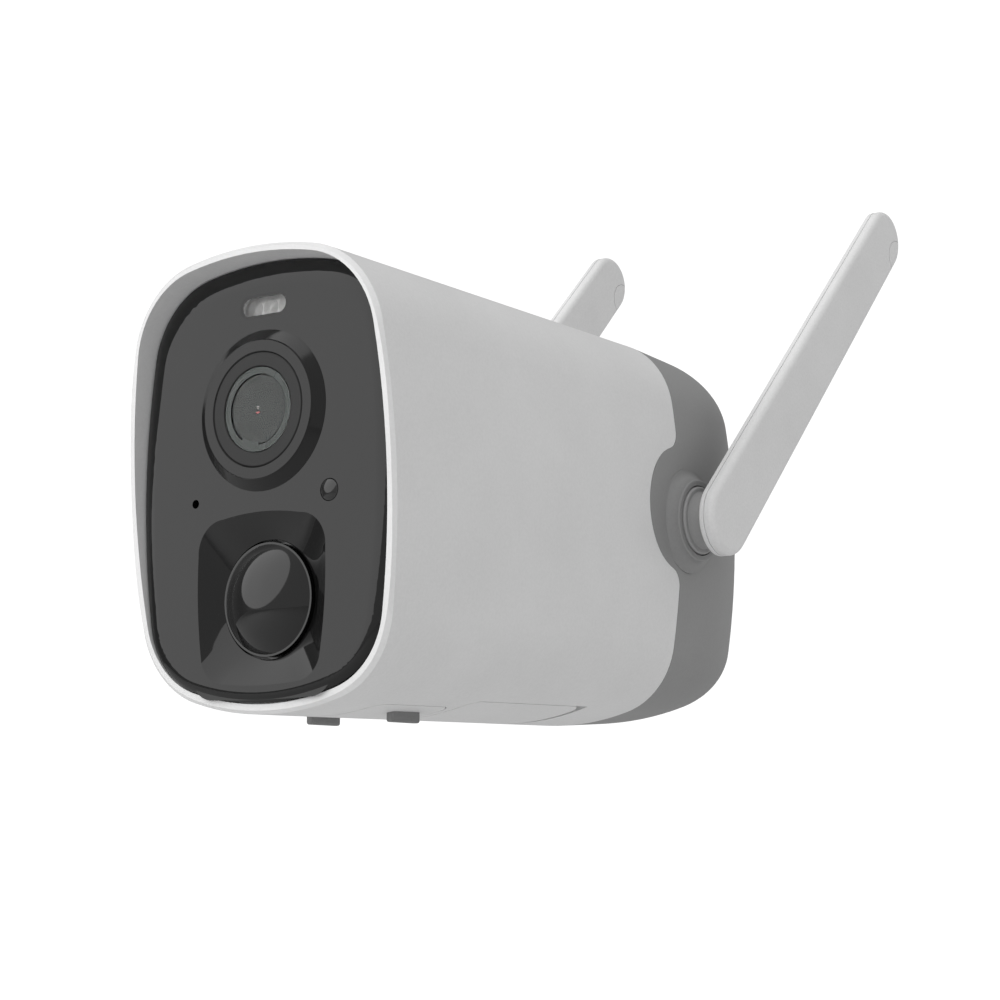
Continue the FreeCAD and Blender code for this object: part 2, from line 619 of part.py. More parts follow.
IR_Y0, IR_Y1 = LENS_REAR_Y + 0.5, SENSOR_BOARD_Y
SHUTTLE_T, SHUTTLE_TRAVEL = 0.8, 6.5
SHUTTLE_Y = IR_Y0 + 1.6
HOLDER_HALF_W, HOLDER_HALF_H = 14.0, 9.0


def make_lens_holder():
    tower = rod_y(LENS_THREAD_R + 1.8, 8.0, IR_Y0 + 1)
    base = mid_box(0, HOLDER_HALF_W, IR_Y0, IR_Y1, 0, HOLDER_HALF_H)
    holder = join([tower, base])
    cuts = [rod_y(LENS_THREAD_R, 7, LENS_REAR_Y + 0.3), mid_box(0, 4.0, IR_Y0 - 1, IR_Y1 + 1, 0, 3.2),
            mid_box(0, 12.4, SHUTTLE_Y - 0.3, SHUTTLE_Y + SHUTTLE_T + 0.3, 0, 5.4),
            mid_box(0, 6.4, IR_Y1 - 2.6, IR_Y1 + 1, 0, 5.2)]
    return holder.cut(cuts)


def make_ir_shuttle():
    x0 = -11.8
    plate = box(x0, x0 + 17.1, SHUTTLE_Y, SHUTTLE_Y + SHUTTLE_T, -5.0, 5.0)
    windows = [mid_box(x, 2.9, SHUTTLE_Y - 1, SHUTTLE_Y + 2, 0, 3.4) for x in (0.0, -SHUTTLE_TRAVEL)]
    return plate.cut(windows)


def shuttle_pane(x):
    return mid_box(x, 2.9, SHUTTLE_Y + 0.15, SHUTTLE_Y + SHUTTLE_T - 0.15, 0, 3.4)


def make_image_sensor():
    return mid_box(0, 5.2, SENSOR_BOARD_Y - 1.3, SENSOR_BOARD_Y, 0, 4.2)


def make_sensor_board():
    board = mid_box(0, 15.5, SENSOR_BOARD_Y, SENSOR_BOARD_Y + BOARD_T, 0, 11.0)
    return board.makeFillet(1.5, edges_at(board, lambda e: e.BoundBox.YLength > 1))


# ---------------------------------------------------------------- sensor dome and front board
def make_pir_dome():
    seat = DOME_SEAT_Y
    ball_r = (DOME_R ** 2 + DOME_H ** 2) / (2 * DOME_H)
    edge_y = POCKET_DEPTH - 0.2
    cy = edge_y - DOME_H + ball_r

    def bulb(r_skirt, r_ball, y_end):
        ball = Part.makeSphere(r_ball, Vector(0, cy, DOME_Z))
        cap = ball.common(box(-BIG, BIG, -BIG, edge_y, -BIG, BIG)).common(rod_y(r_skirt, -20, 40, 0, DOME_Z))
        return cap.fuse(rod_y(r_skirt, edge_y - 0.4, y_end, 0, DOME_Z))

    dome = bulb(DOME_R, ball_r, seat + 0.5).fuse(rod_y(DOME_R + 1.5, seat, seat + 1.0, 0, DOME_Z))
    return dome.cut(bulb(DOME_R - DOME_T, ball_r - DOME_T, seat + 3)).removeSplitter()


def make_pir_retainer():
    y0 = DOME_SEAT_Y + 1.0
    ring = tube_y(DOME_R + 1.7, DOME_R - 1.6, y0, y0 + 1.4, 0, DOME_Z)
    tabs = [mid_box(s * (DOME_R + 3.0), 1.8, y0, y0 + 1.4, DOME_Z, 2.2) for s in (1, -1)]
    return join([ring] + tabs)


def make_pir_sensor():
    can = rod_y(4.6, FRONT_BOARD_Y - 4.2, FRONT_BOARD_Y, 0, DOME_Z)
    window = mid_box(0, 2.0, FRONT_BOARD_Y - 5, FRONT_BOARD_Y - 4.05, DOME_Z, 1.6)
    return can.cut(window)


def make_front_board():
    inset = MOUTH_INSET + LEDGE_W + 1.2
    board = Part.makeLoft([section(inset, y) for y in (FRONT_BOARD_Y, FRONT_BOARD_Y + BOARD_T)], True, True)
    hole = mid_box(0, HOLDER_HALF_W + 1, FRONT_BOARD_Y - 1, FRONT_BOARD_Y + 3, 0, HOLDER_HALF_H + 1)
    screws = [rod_y(1.2, FRONT_BOARD_Y - 1, FRONT_BOARD_Y + 3, x, z) for x, z in leg_places()]
    return board.cut([hole] + screws)


def make_led_window():
    window = led_slot(0.35, 0.1, PANEL_T).fuse(led_slot(1.6, PANEL_T, PANEL_T + 1.0))
    return window.removeSplitter()


def make_leds():
    return group(mid_box(x, 1.4, FRONT_BOARD_Y - 0.8, FRONT_BOARD_Y, LED_Z, 1.4) for x in (-4.0, 0.0, 4.0))


def make_light_sensor_window():
    pipe = rod_y(EYE_R + 0.05, 0.0, PANEL_T + 6, EYE_X, EYE_Z)
    flange = rod_y(EYE_R + 1.0, PANEL_T, PANEL_T + 0.9, EYE_X, EYE_Z)
    ball_r = 4.0
    bead = Part.makeSphere(ball_r, Vector(EYE_X, math.sqrt(ball_r ** 2 - EYE_R ** 2), EYE_Z))
    bead = bead.common(rod_y(EYE_R, -2, 0.05, EYE_X, EYE_Z))
    return join([pipe, flange, bead])


def make_front_sensors():
    """Microphone can and daylight sensor on the front board."""
    return group([rod_y(2.0, FRONT_BOARD_Y - 1.4, FRONT_BOARD_Y, MIC_X, MIC_Z),
                  mid_box(EYE_X, 1.1, FRONT_BOARD_Y - 0.8, FRONT_BOARD_Y, EYE_Z, 0.9)])


def make_front_screws():
    screws = []
    for x, z in leg_places():
        head = rod_y(1.9, LEG_SEAT_Y, LEG_SEAT_Y + 1.6, x, z)
        shank = rod_y(1.0, PANEL_T + 4, LEG_SEAT_Y + 0.1, x, z)
        slot = rod_y(0.8, LEG_SEAT_Y + 0.9, LEG_SEAT_Y + 2, x, z)
        screws.append(head.fuse(shank).cut(slot).removeSplitter())
    return group(screws)


# ---------------------------------------------------------------- inner frame, cells and boards
LEG_SEAT_Y = FRONT_BOARD_Y + BOARD_T + 1.2
WALL_Y = SENSOR_BOARD_Y + BOARD_T
FRAME_T = 2.0
FRAME_REAR_Y = SEAM_Y + 1
INNER_ROOM = WALL + TONGUE_T + 1.0
HUB_ROOM_X, HUB_ROOM_Y = 19.2, 98.5      # the deck's rear corners are cut off here for the antenna hubs


def make_inner_frame():
    reach = half_width(DECK_Z, shell_inset(SEAM_Y)) - INNER_ROOM
    deck = box(-reach, reach, WALL_Y, FRAME_REAR_Y, DECK_Z - DECK_T, DECK_Z)
    bulkhead = box(-LEG_X - LEG_R, LEG_X + LEG_R, WALL_Y, WALL_Y + FRAME_T, LEG_DOWN - LEG_R, LEG_UP + LEG_R)
    legs = [rod_y(LEG_R, FRONT_BOARD_Y + BOARD_T, WALL_Y + 1, x, z) for x, z in leg_places()]
    posts = [rod_y(LEG_R, FRAME_REAR_Y - 9, FRAME_REAR_Y, x, z) for x, z in rear_screw_places()]
    braces = [box(s * REAR_SCREW_X - 1, s * REAR_SCREW_X + 1, FRAME_REAR_Y - 2.8, FRAME_REAR_Y,
                  REAR_SCREW_DOWN, REAR_SCREW_UP) for s in (1, -1)]
    hub_room = [box(min(s * HUB_ROOM_X, s * BIG), max(s * HUB_ROOM_X, s * BIG), HUB_ROOM_Y, BIG, -BIG, BIG)
                for s in (1, -1)]
    deck = deck.cut(hub_room)
    frame = join([deck, bulkhead] + legs + posts + braces + board_standoffs())
    cuts = [rod_y(2.1, LEG_SEAT_Y, WALL_Y + 5, x, z) for x, z in leg_places()]
    cuts += [rod_y(1.2, FRONT_BOARD_Y, LEG_SEAT_Y + 1, x, z) for x, z in leg_places()]
    cuts += [rod_y(SCREW_R, FRAME_REAR_Y - 8, FRAME_REAR_Y + 1, x, z) for x, z in rear_screw_places()]
    cuts.append(mid_box(0, 9.0, WALL_Y - 1, WALL_Y + 5, 0, 7.0))
    return frame.cut(cuts).removeSplitter()


def cell_z():
    return DECK_Z - DECK_T - 0.4 - CELL_R


def make_cell(side):
    x = side * CELL_X
    can = rod_y(CELL_R, CELL_Y0, CELL_Y0 + CELL_L, x, cell_z())
    nib = rod_y(2.8, CELL_Y0 - 1.0, CELL_Y0 + 0.5, x, cell_z())
    ends = edges_at(can, lambda e: on_plane_y(e, CELL_Y0) or on_plane_y(e, CELL_Y0 + CELL_L))
    return can.makeFillet(1.0, ends).fuse(nib).removeSplitter()


def make_cell_cradle():
    z = cell_z()
    w = CELL_X + CELL_R + 1.6
    tray = box(-w, w, CELL_Y0 - 3.4, CELL_Y0 + CELL_L + 3.4, z - CELL_R - 1.6, DECK_Z - DECK_T)
    room = [rod_y(CELL_R + 0.15, CELL_Y0 - 1.8, CELL_Y0 + CELL_L + 1.8, s * CELL_X, z) for s in (1, -1)]
    lift = box(-CELL_X, CELL_X, CELL_Y0 - 1.8, CELL_Y0 + CELL_L + 1.8, z - 3, DECK_Z - DECK_T)
    return tray.cut(room + [lift])


def make_cell_contacts():
    z = cell_z()
    plates = []
    for s in (1, -1):
        plates.append(mid_box(s * CELL_X, 4.0, CELL_Y0 - 1.8, CELL_Y0 - 1.0, z, 4.0))
    back = mid_box(0, CELL_X + 4.0, CELL_Y0 + CELL_L, CELL_Y0 + CELL_L + 0.6, z, 3.0)
    return group(plates + [back])


BOARD_LIFT = 3.0
MAIN_Y0, MAIN_Y1, MAIN_HALF_W = 36.0, 97.0, 22.0


def make_main_board():
    z = DECK_Z + BOARD_LIFT
    board = box(-MAIN_HALF_W, MAIN_HALF_W, MAIN_Y0, MAIN_Y1, z, z + BOARD_T)
    return board.makeFillet(2.0, edges_at(board, lambda e: e.BoundBox.ZLength > 1))


def board_standoffs():
    places = [(s * (MAIN_HALF_W - 3.5), y) for s in (1, -1) for y in (MAIN_Y0 + 4, MAIN_Y1 - 4)]
    return [rod_z(2.4, DECK_Z - 0.5, DECK_Z + BOARD_LIFT, x, y) for x, y in places]


def on_main_board(x, y, half_x, half_y, tall):
    z = DECK_Z + BOARD_LIFT + BOARD_T
    return box(x - half_x, x + half_x, y - half_y, y + half_y, z, z + tall)


def make_shield_cans():
    """Metal cans over the processor and the radio."""
    cans = [on_main_board(0, 52, 11, 10, 2.4), on_main_board(0, 80, 8, 9, 2.2)]
    return group(can.makeFillet(0.8, edges_at(can, lambda e: e.BoundBox.ZLength > 1)) for can in cans)


def make_board_chips():
    return group([on_main_board(-16, 48, 3, 4, 1.2), on_main_board(16, 46, 2.5, 2.5, 1.0),
                  on_main_board(16, 58, 3.5, 3.5, 3.0), on_main_board(-16, 66, 2.2, 3.0, 1.6),
                  on_main_board(15, 74, 2.0, 4.0, 1.4), on_main_board(-19, 82, 2.0, 2.5, 4.0)])


# ---------------------------------------------------------------- ports under the cover
USB_X, USB_Y = 0.0, 60.0
USB_HALF_W, USB_HALF_T = 4.5, 1.65
CARD_X, CARD_Y = 0.0, 71.0
CARD_HALF_W, CARD_T, CARD_L = 5.5, 1.0, 15.0
CARD_TOP_Z = PORT_BOARD_Z + 3.6
BUTTON_Y = 51.5
POWER_X, POWER_R = -9.0, 3.0
RESET_X, RESET_R = 9.0, 1.6
BUTTON_TRAVEL = 0.5
SOCKET_LOW_Z = BAY_ROOF_Z - 2.2


def make_port_bay():
    """Open-bottomed tray behind the port cover, standing on the shell's frame."""
    low = BOTTOM - 3
    block = box(-BAY_HALF_W, BAY_HALF_W, BAY_Y0, BAY_Y1, low, BAY_ROOF_Z + BAY_WALL)
    inner_w = BAY_HALF_W - BAY_WALL
    room = box(-inner_w, inner_w, BAY_Y0 + BAY_WALL, BAY_Y1 - BAY_WALL, low - 1, BAY_ROOF_Z)
    bay = block.cut(room).common(front_loft(10, SEAM_Y, WALL - 0.2 + LAND_T))
    bay = bay.fuse(hinge_ears()).cut(rod_x(HINGE_R, -BIG, BIG, HINGE_Y, HINGE_Z))
    usb_w, usb_t = USB_HALF_W + FIT, USB_HALF_T + FIT
    cuts = [box(USB_X - usb_w, USB_X + usb_w, USB_Y - usb_t, USB_Y + usb_t, -BIG, 0),
            box(CARD_X - 7.3, CARD_X + 7.3, CARD_Y - 1.5, CARD_Y + 1.5, -BIG, 0),
            rod_z(POWER_R + RUN_FIT, BAY_ROOF_Z - 1, BAY_ROOF_Z + 5, POWER_X, BUTTON_Y),
            rod_z(RESET_R + RUN_FIT, BAY_ROOF_Z - 1, BAY_ROOF_Z + 5, RESET_X, BUTTON_Y)]
    return bay.cut([c.common(box(-BIG, BIG, -BIG, BIG, BAY_ROOF_Z - 1, BIG)) for c in cuts])


def make_usb_connector():
    body = box(USB_X - USB_HALF_W, USB_X + USB_HALF_W, USB_Y - USB_HALF_T, USB_Y + USB_HALF_T,
               SOCKET_LOW_Z, PORT_BOARD_Z)
    body = body.makeFillet(USB_HALF_T - 0.05, edges_at(body, lambda e: e.BoundBox.ZLength > 1))
    sheet = 0.35
    w, t = USB_HALF_W - sheet, USB_HALF_T - sheet
    hollow = box(USB_X - w, USB_X + w, USB_Y - t, USB_Y + t, SOCKET_LOW_Z - 1, PORT_BOARD_Z - 1.5)
    hollow = hollow.makeFillet(t - 0.05, edges_at(hollow, lambda e: e.BoundBox.ZLength > 1))
    blade = box(USB_X - 3.3, USB_X + 3.3, USB_Y - 0.35, USB_Y + 0.35, SOCKET_LOW_Z + 0.8, PORT_BOARD_Z - 1)
    return body.cut(hollow).fuse(blade).removeSplitter()


def make_card_socket():
    body = box(CARD_X - 7.2, CARD_X + 7.2, CARD_Y - 1.4, CARD_Y + 1.4, SOCKET_LOW_Z, CARD_TOP_Z + 1.0)
    slot = box(CARD_X - CARD_HALF_W - 0.1, CARD_X + CARD_HALF_W + 0.1, CARD_Y - CARD_T / 2 - 0.1,
               CARD_Y + CARD_T / 2 + 0.1, SOCKET_LOW_Z - 1, CARD_TOP_Z + 0.1)
    return body.cut(slot)


def make_memory_card():
    z0 = CARD_TOP_Z - CARD_L
    x0, x1 = CARD_X - CARD_HALF_W, CARD_X + CARD_HALF_W
    back = CARD_Y + CARD_T / 2
    card = box(x0, x1, CARD_Y - CARD_T / 2, back, z0, CARD_TOP_Z)
    notch = box(x1 - 1.3, x1 + 1, CARD_Y - 2, CARD_Y + 2, CARD_TOP_Z - 6.4, CARD_TOP_Z + 1)
    ridge = box(x0 + 0.6, x1 - 0.6, back - 0.01, back + 0.3, z0, z0 + 0.9)
    return card.cut(notch).fuse(ridge).removeSplitter()


def make_port_board():
    y1 = CARD_Y - 1.6
    return box(-BAY_HALF_W + 1, BAY_HALF_W - 1, BAY_Y0 + 1, y1, PORT_BOARD_Z, PORT_BOARD_Z + BOARD_T)


SWITCH_T = 3.0


def make_switches():
    return group(box(x - 2.2, x + 2.2, BUTTON_Y - 2.2, BUTTON_Y + 2.2, PORT_BOARD_Z - SWITCH_T, PORT_BOARD_Z)
                 for x in (POWER_X, RESET_X))


def button(x, r):
    """Push button through the bay's roof, with a flange that keeps it in."""
    flange_z = BAY_ROOF_Z + BAY_WALL
    stem_top = PORT_BOARD_Z - SWITCH_T - BUTTON_TRAVEL - 0.15
    stem = rod_z(r, BAY_ROOF_Z - 1.2, flange_z + 0.2, x, BUTTON_Y)
    stem = stem.makeFillet(0.3, edges_at(stem, lambda e: e.BoundBox.ZMax < BAY_ROOF_Z))
    flange = rod_z(r + 1.0, flange_z + 0.02, flange_z + 0.9, x, BUTTON_Y)
    post = rod_z(r * 0.6, flange_z, stem_top, x, BUTTON_Y)
    return join([stem, flange, post])


def make_port_cover():
    plate = underside_plate(COVER_Y0, COVER_Y1, COVER_HALF_W, PLATE_T)
    within = front_loft(10, SEAM_Y, PLATE_T - 0.4)
    lugs = []
    for x in (-LUG_X, LUG_X):
        web = box(x - LUG_HALF, x + LUG_HALF, HINGE_Y - LUG_R, HINGE_Y + LUG_R, BOTTOM - 5, HINGE_Z)
        lugs += [rod_x(LUG_R, x - LUG_HALF, x + LUG_HALF, HINGE_Y, HINGE_Z), web.common(within)]
    catch_z = BOTTOM + shell_inset(COVER_Y0) + PLATE_T
    catch = box(-4, 4, COVER_Y0 + LAND_W + 0.4, COVER_Y0 + LAND_W + 1.4, BOTTOM - 5, catch_z + 2.6)
    cover = plate.fuse(lugs + [catch.common(within)])
    bore = rod_x(HINGE_R + RUN_FIT, -LUG_X - LUG_HALF - 1, LUG_X + LUG_HALF + 1, HINGE_Y, HINGE_Z)
    return cover.cut(bore).removeSplitter()


def make_cover_seal():
    """Rubber frame on the inside of the port cover."""
    out_w, y0, y1 = COVER_HALF_W - LAND_W - 0.4, COVER_Y0 + LAND_W + 1.5, BAY_Y1 - 1.8
    frame = underside_plate(y0, y1, out_w, 1.25, 0.0, PLATE_T)
    return frame.cut(plate_prism(y0 + 1.6, y1 - 1.6, out_w - 1.6, -1.0, BOTTOM - 6, BOTTOM + 40))


def make_hinge_pin():
    reach = EAR_X + EAR_HALF
    return rod_x(HINGE_R, -reach, reach, HINGE_Y, HINGE_Z)


def hinge_ears():
    """Two ears on the bay's rear wall that hold the hinge pin."""
    ears = []
    for x in (-EAR_X, EAR_X):
        ears.append(rod_x(EAR_R, x - EAR_HALF, x + EAR_HALF, HINGE_Y, HINGE_Z))
        low, high = HINGE_Z - EAR_R, HINGE_Z + EAR_R + 1.5
        ears.append(box(x - EAR_HALF, x + EAR_HALF, BAY_Y1 - 0.5, HINGE_Y, low, high))
    return ears


# ---------------------------------------------------------------- hatch and feet
def make_service_hatch():
    plate = underside_plate(HATCH_Y0, HATCH_Y1, HATCH_HALF_W, PLATE_T, 0.0, 0.0)
    seats = [foot_block(s, 0.0, 0.9) for s in (1, -1)]
    return plate.cut(seats).removeSplitter()


def foot_block(side, grow, z_up):
    """Rounded foot under the hatch, let into it by z_up."""
    x = side * FOOT_X
    z0 = under_z(FOOT_X, shell_inset(FOOT_Y0)) - FOOT_PROUD
    z1 = under_z(FOOT_X, shell_inset(FOOT_Y0)) + z_up
    block = box(x - FOOT_HALF_W - grow, x + FOOT_HALF_W + grow, FOOT_Y0 - grow, FOOT_Y1 + grow, z0, z1)
    return block.makeFillet(FOOT_END_R, edges_at(block, lambda e: e.BoundBox.ZLength > 0.5))


def make_foot(side):
    foot = foot_block(side, 0.0, 0.9)
    low = foot.BoundBox.ZMin
    return foot.makeFillet(FOOT_EDGE_R, edges_at(foot, lambda e: e.BoundBox.ZMax < low + 0.01))


# ---------------------------------------------------------------- rear hardware
def make_rear_gasket():
    return gasket_ring(0.02)


def make_rear_screws():
    screws = []
    for x, z in rear_screw_places():
        head = rod_y(SCREW_HEAD_R, REAR_HEAD_SEAT_Y, REAR_HEAD_SEAT_Y + SCREW_HEAD_T, x, z)
        shank = rod_y(SCREW_R, FRAME_REAR_Y - 7, REAR_HEAD_SEAT_Y + 0.1, x, z)
        drive = rod_y(1.2, REAR_HEAD_SEAT_Y + 0.8, REAR_HEAD_SEAT_Y + 3, x, z)
        screws.append(head.fuse(shank).cut(drive).removeSplitter())
    return group(screws)


def make_mount_insert():
    body = rod_y(INSERT_R, BACK - INSERT_L, BACK, 0, MOUNT_Z)
    for y in (BACK - INSERT_L + 2.6, BACK - 3.6):
        body = body.cut(tube_y(INSERT_R + 1, INSERT_R - 0.5, y, y + 1.0, 0, MOUNT_Z))
    return body.cut(rod_y(THREAD_R, BACK - THREAD_DEPTH, BACK + 1, 0, MOUNT_Z))


def make_speaker():
    y1 = BACK - BACK_WALL
    frame = rod_y(SPEAKER_R, y1 - SPEAKER_T, y1, 0, SPEAKER_Z)
    cone = Part.makeCone(3.0, SPEAKER_R - 1.6, 2.4, Vector(0, y1 - 2.4, SPEAKER_Z), Vector(0, 1, 0))
    magnet = rod_y(SPEAKER_R - 4, y1 - SPEAKER_T - 2.0, y1 - SPEAKER_T + 0.5, 0, SPEAKER_Z)
    return frame.fuse(magnet).cut(cone).removeSplitter()


def make_hub_bush(side):
    length_x = HUB_SEAT_X - 0.3
    bush = rod_x(SPINDLE_R + RUN_FIT + BUSH_WALL, BUSH_X0, length_x, PIVOT_Y, PIVOT_Z)
    bush = bush.cut(rod_x(SPINDLE_R + RUN_FIT, BUSH_X0 - 1, length_x + 1, PIVOT_Y, PIVOT_Z))
    return bush if side > 0 else mirrored(bush)


# ---------------------------------------------------------------- antennas
def arm_outline(inset, x):
    """Face of the arm's paddle outline before it is tilted, along +Y from the pivot."""
    r0, r1, length = ARM_PIVOT_R - inset, ARM_TIP_R - inset, ARM_LENGTH
    lean = math.asin((r0 - r1) / length)
    up = (math.sin(lean), math.cos(lean))
    a, b = (r0 * up[0], r0 * up[1]), (length + r1 * up[0], r1 * up[1])
    pts = [Vector(x, a[0], a[1]), Vector(x, b[0], b[1]), Vector(x, length + r1, 0), Vector(x, b[0], -b[1]),
           Vector(x, a[0], -a[1]), Vector(x, -r0, 0)]
    edges = [Part.LineSegment(pts[0], pts[1]).toShape(), arc(pts[1], pts[2], pts[3]),
             Part.LineSegment(pts[3], pts[4]).toShape(), arc(pts[4], pts[5], pts[0])]
    return Part.Face(Part.Wire(edges))


def set_hub_piece(shape, side):
    shape.translate(Vector(0, PIVOT_Y, PIVOT_Z))
    return shape if side > 0 else mirrored(shape)


SEAM_INSET, ARM_SKIN = 0.25, 1.0
GRIP_R, GRIP_ALONG, GRIP_DOWN, GRIP_LINE = 4.6, 1.0, 6.4, 0.22   # thin circular line at the arm's tip


def arm_start(side):
    """Lowest X of an arm; both arms have their thin half on the -X side."""
    return ARM_X if side > 0 else -ARM_X - ARM_THIN_T - ARM_THICK_T


def tilt_arm(shape):
    shape.rotate(Vector(0, 0, 0), Vector(1, 0, 0), ARM_RISE)
    shape.translate(Vector(0, PIVOT_Y, PIVOT_Z))
    return shape


def make_antenna_thin_half(side):
    x0 = arm_start(side)
    x1 = x0 + ARM_THIN_T
    half = arm_outline(0.0, x0).extrude(Vector(ARM_THIN_T, 0, 0))
    half = half.makeFillet(0.5, edges_at(half, lambda e: e.BoundBox.XMax < x0 + 0.01))
    seam = arm_outline(0.0, x1 - SEAM_INSET).extrude(Vector(1, 0, 0))
    seam = seam.cut(arm_outline(SEAM_INSET, x0).extrude(Vector(5, 0, 0)))
    room = arm_outline(ARM_SKIN + 0.6, x0 + ARM_SKIN).extrude(Vector(5, 0, 0))
    lead_way = rod_x(1.5, x0 - 1, x1 + 1, 0, 0)
    return tilt_arm(half.cut([seam, room] + ([lead_way] if side > 0 else [])))


def make_antenna_thick_half(side):
    x0 = arm_start(side) + ARM_THIN_T
    x1 = x0 + ARM_THICK_T
    half = arm_outline(0.0, x0).extrude(Vector(ARM_THICK_T, 0, 0))
    half = half.makeFillet(ARM_EDGE_R, edges_at(half, lambda e: e.BoundBox.XMin > x1 - 0.01))
    room = arm_outline(ARM_SKIN + 0.6, x0 - 1).extrude(Vector(1 + ARM_THICK_T - ARM_SKIN, 0, 0))
    grip_x = x1 - GRIP_LINE
    grip = rod_x(GRIP_R, grip_x, x1 + 1, ARM_LENGTH + GRIP_ALONG, -GRIP_DOWN)
    grip = grip.cut(rod_x(GRIP_R - GRIP_LINE, grip_x - 1, x1 + 2, ARM_LENGTH + GRIP_ALONG, -GRIP_DOWN))
    lead_way = rod_x(1.5, x0 - 1, x1 + 1, 0, 0)
    return tilt_arm(half.cut([room, grip] + ([lead_way] if side < 0 else [])))


def make_antenna_element(side):
    """Flat copper radiator inside the arm."""
    x = arm_start(side) + ARM_SKIN
    strip = box(x, x + 0.4, 14, ARM_LENGTH - 4, -3.0, 3.0)
    feed = box(x, x + 0.4, 2.0, 15, -1.0, 1.0)
    slots = [box(x - 1, x + 2, y, y + 1.0, -3.5 if i % 2 else -1.8, 1.8 if i % 2 else 3.5)
             for i, y in enumerate(range(24, int(ARM_LENGTH) - 10, 8))]
    return tilt_arm(strip.fuse(feed).cut(slots).removeSplitter())


def make_antenna_hub(side):
    """Turning hub: spindle in the cap's bush, flange in the boss, and a waisted neck to the arm."""
    flange_x0, flange_x1 = HUB_SEAT_X, HUB_SEAT_X + HUB_T
    waist = (ARM_X - flange_x1) / 2
    corners = [(SPINDLE_X0, 1.0), (SPINDLE_X0, SPINDLE_R), (flange_x0, SPINDLE_R), (flange_x0, HUB_R),
               (flange_x1 - 0.5, HUB_R), (flange_x1, HUB_R - 0.5), (flange_x1, NECK_R + 1.2),
               (ARM_X, NECK_R + 0.6), (ARM_X, 1.0)]
    profile = [Vector(x, r, 0) for x, r in corners]
    edges = [Part.LineSegment(profile[i], profile[i + 1]).toShape() for i in range(4)]
    edges.append(arc(profile[4], Vector(flange_x1 - 0.15, HUB_R - 0.15, 0), profile[5]))
    edges.append(Part.LineSegment(profile[5], profile[6]).toShape())
    edges.append(arc(profile[6], Vector(flange_x1 + waist, NECK_R, 0), profile[7]))
    edges.append(Part.LineSegment(profile[7], profile[8]).toShape())
    edges.append(Part.LineSegment(profile[8], profile[0]).toShape())
    hub = Part.Face(Part.Wire(edges)).revolve(Vector(0, 0, 0), Vector(1, 0, 0), 360)
    return set_hub_piece(hub, side)


NUT_R, NUT_T, WASHER_T = 6.2, 2.4, 0.6
SPINDLE_X0 = BUSH_X0 - WASHER_T - NUT_T - 0.6


def make_antenna_nut(side):
    turns = [math.radians(60 * i) for i in range(7)]
    hexagon = Part.makePolygon([Vector(0, NUT_R * math.cos(a), NUT_R * math.sin(a)) for a in turns])
    nut = Part.Face(hexagon).extrude(Vector(NUT_T, 0, 0))
    nut.translate(Vector(BUSH_X0 - WASHER_T - NUT_T, 0, 0))
    nut = nut.cut(rod_x(SPINDLE_R, 0, 60, 0, 0))
    return set_hub_piece(nut, side)


COAX_R = 0.55


def make_coax(side):
    """Thin feed lead from the radio module to the inner end of the antenna's spindle."""
    z_board = DECK_Z + BOARD_LIFT + BOARD_T + 1.0
    start = Vector(side * 8.0, 84.0, z_board)
    points = [start, Vector(side * 13.0, 84.0, z_board), Vector(side * 14.5, 99.0, PIVOT_Z + 8.0),
              Vector(side * 14.5, PIVOT_Y, PIVOT_Z), Vector(side * (SPINDLE_X0 - 0.4), PIVOT_Y, PIVOT_Z)]
    edges = []
    last = points[0]
    for before, corner, after in zip(points, points[1:], points[2:]):
        run_in, run_out = corner.sub(before), after.sub(corner)
        turn = run_in.getAngle(run_out)
        back = 0.45 * min(run_in.Length, run_out.Length)
        bend = back / math.tan(turn / 2)
        a = corner.sub(Vector(run_in).normalize().multiply(back))
        b = corner.add(Vector(run_out).normalize().multiply(back))
        middle = a.add(b).multiply(0.5)
        inward = middle.sub(corner).normalize()
        centre = corner.add(Vector(inward).multiply(math.hypot(bend, back)))
        edges.append(Part.LineSegment(last, a).toShape())
        edges.append(arc(a, centre.sub(Vector(inward).multiply(bend)), b))
        last = b
    edges.append(Part.LineSegment(last, points[-1]).toShape())
    path = Part.Wire(edges)
    ring = Part.Wire(Part.makeCircle(COAX_R, points[0], points[1].sub(points[0])))
    return path.makePipeShell([ring], True, False)


# ---------------------------------------------------------------- all parts
SIDES = (("right", 1), ("left", -1))

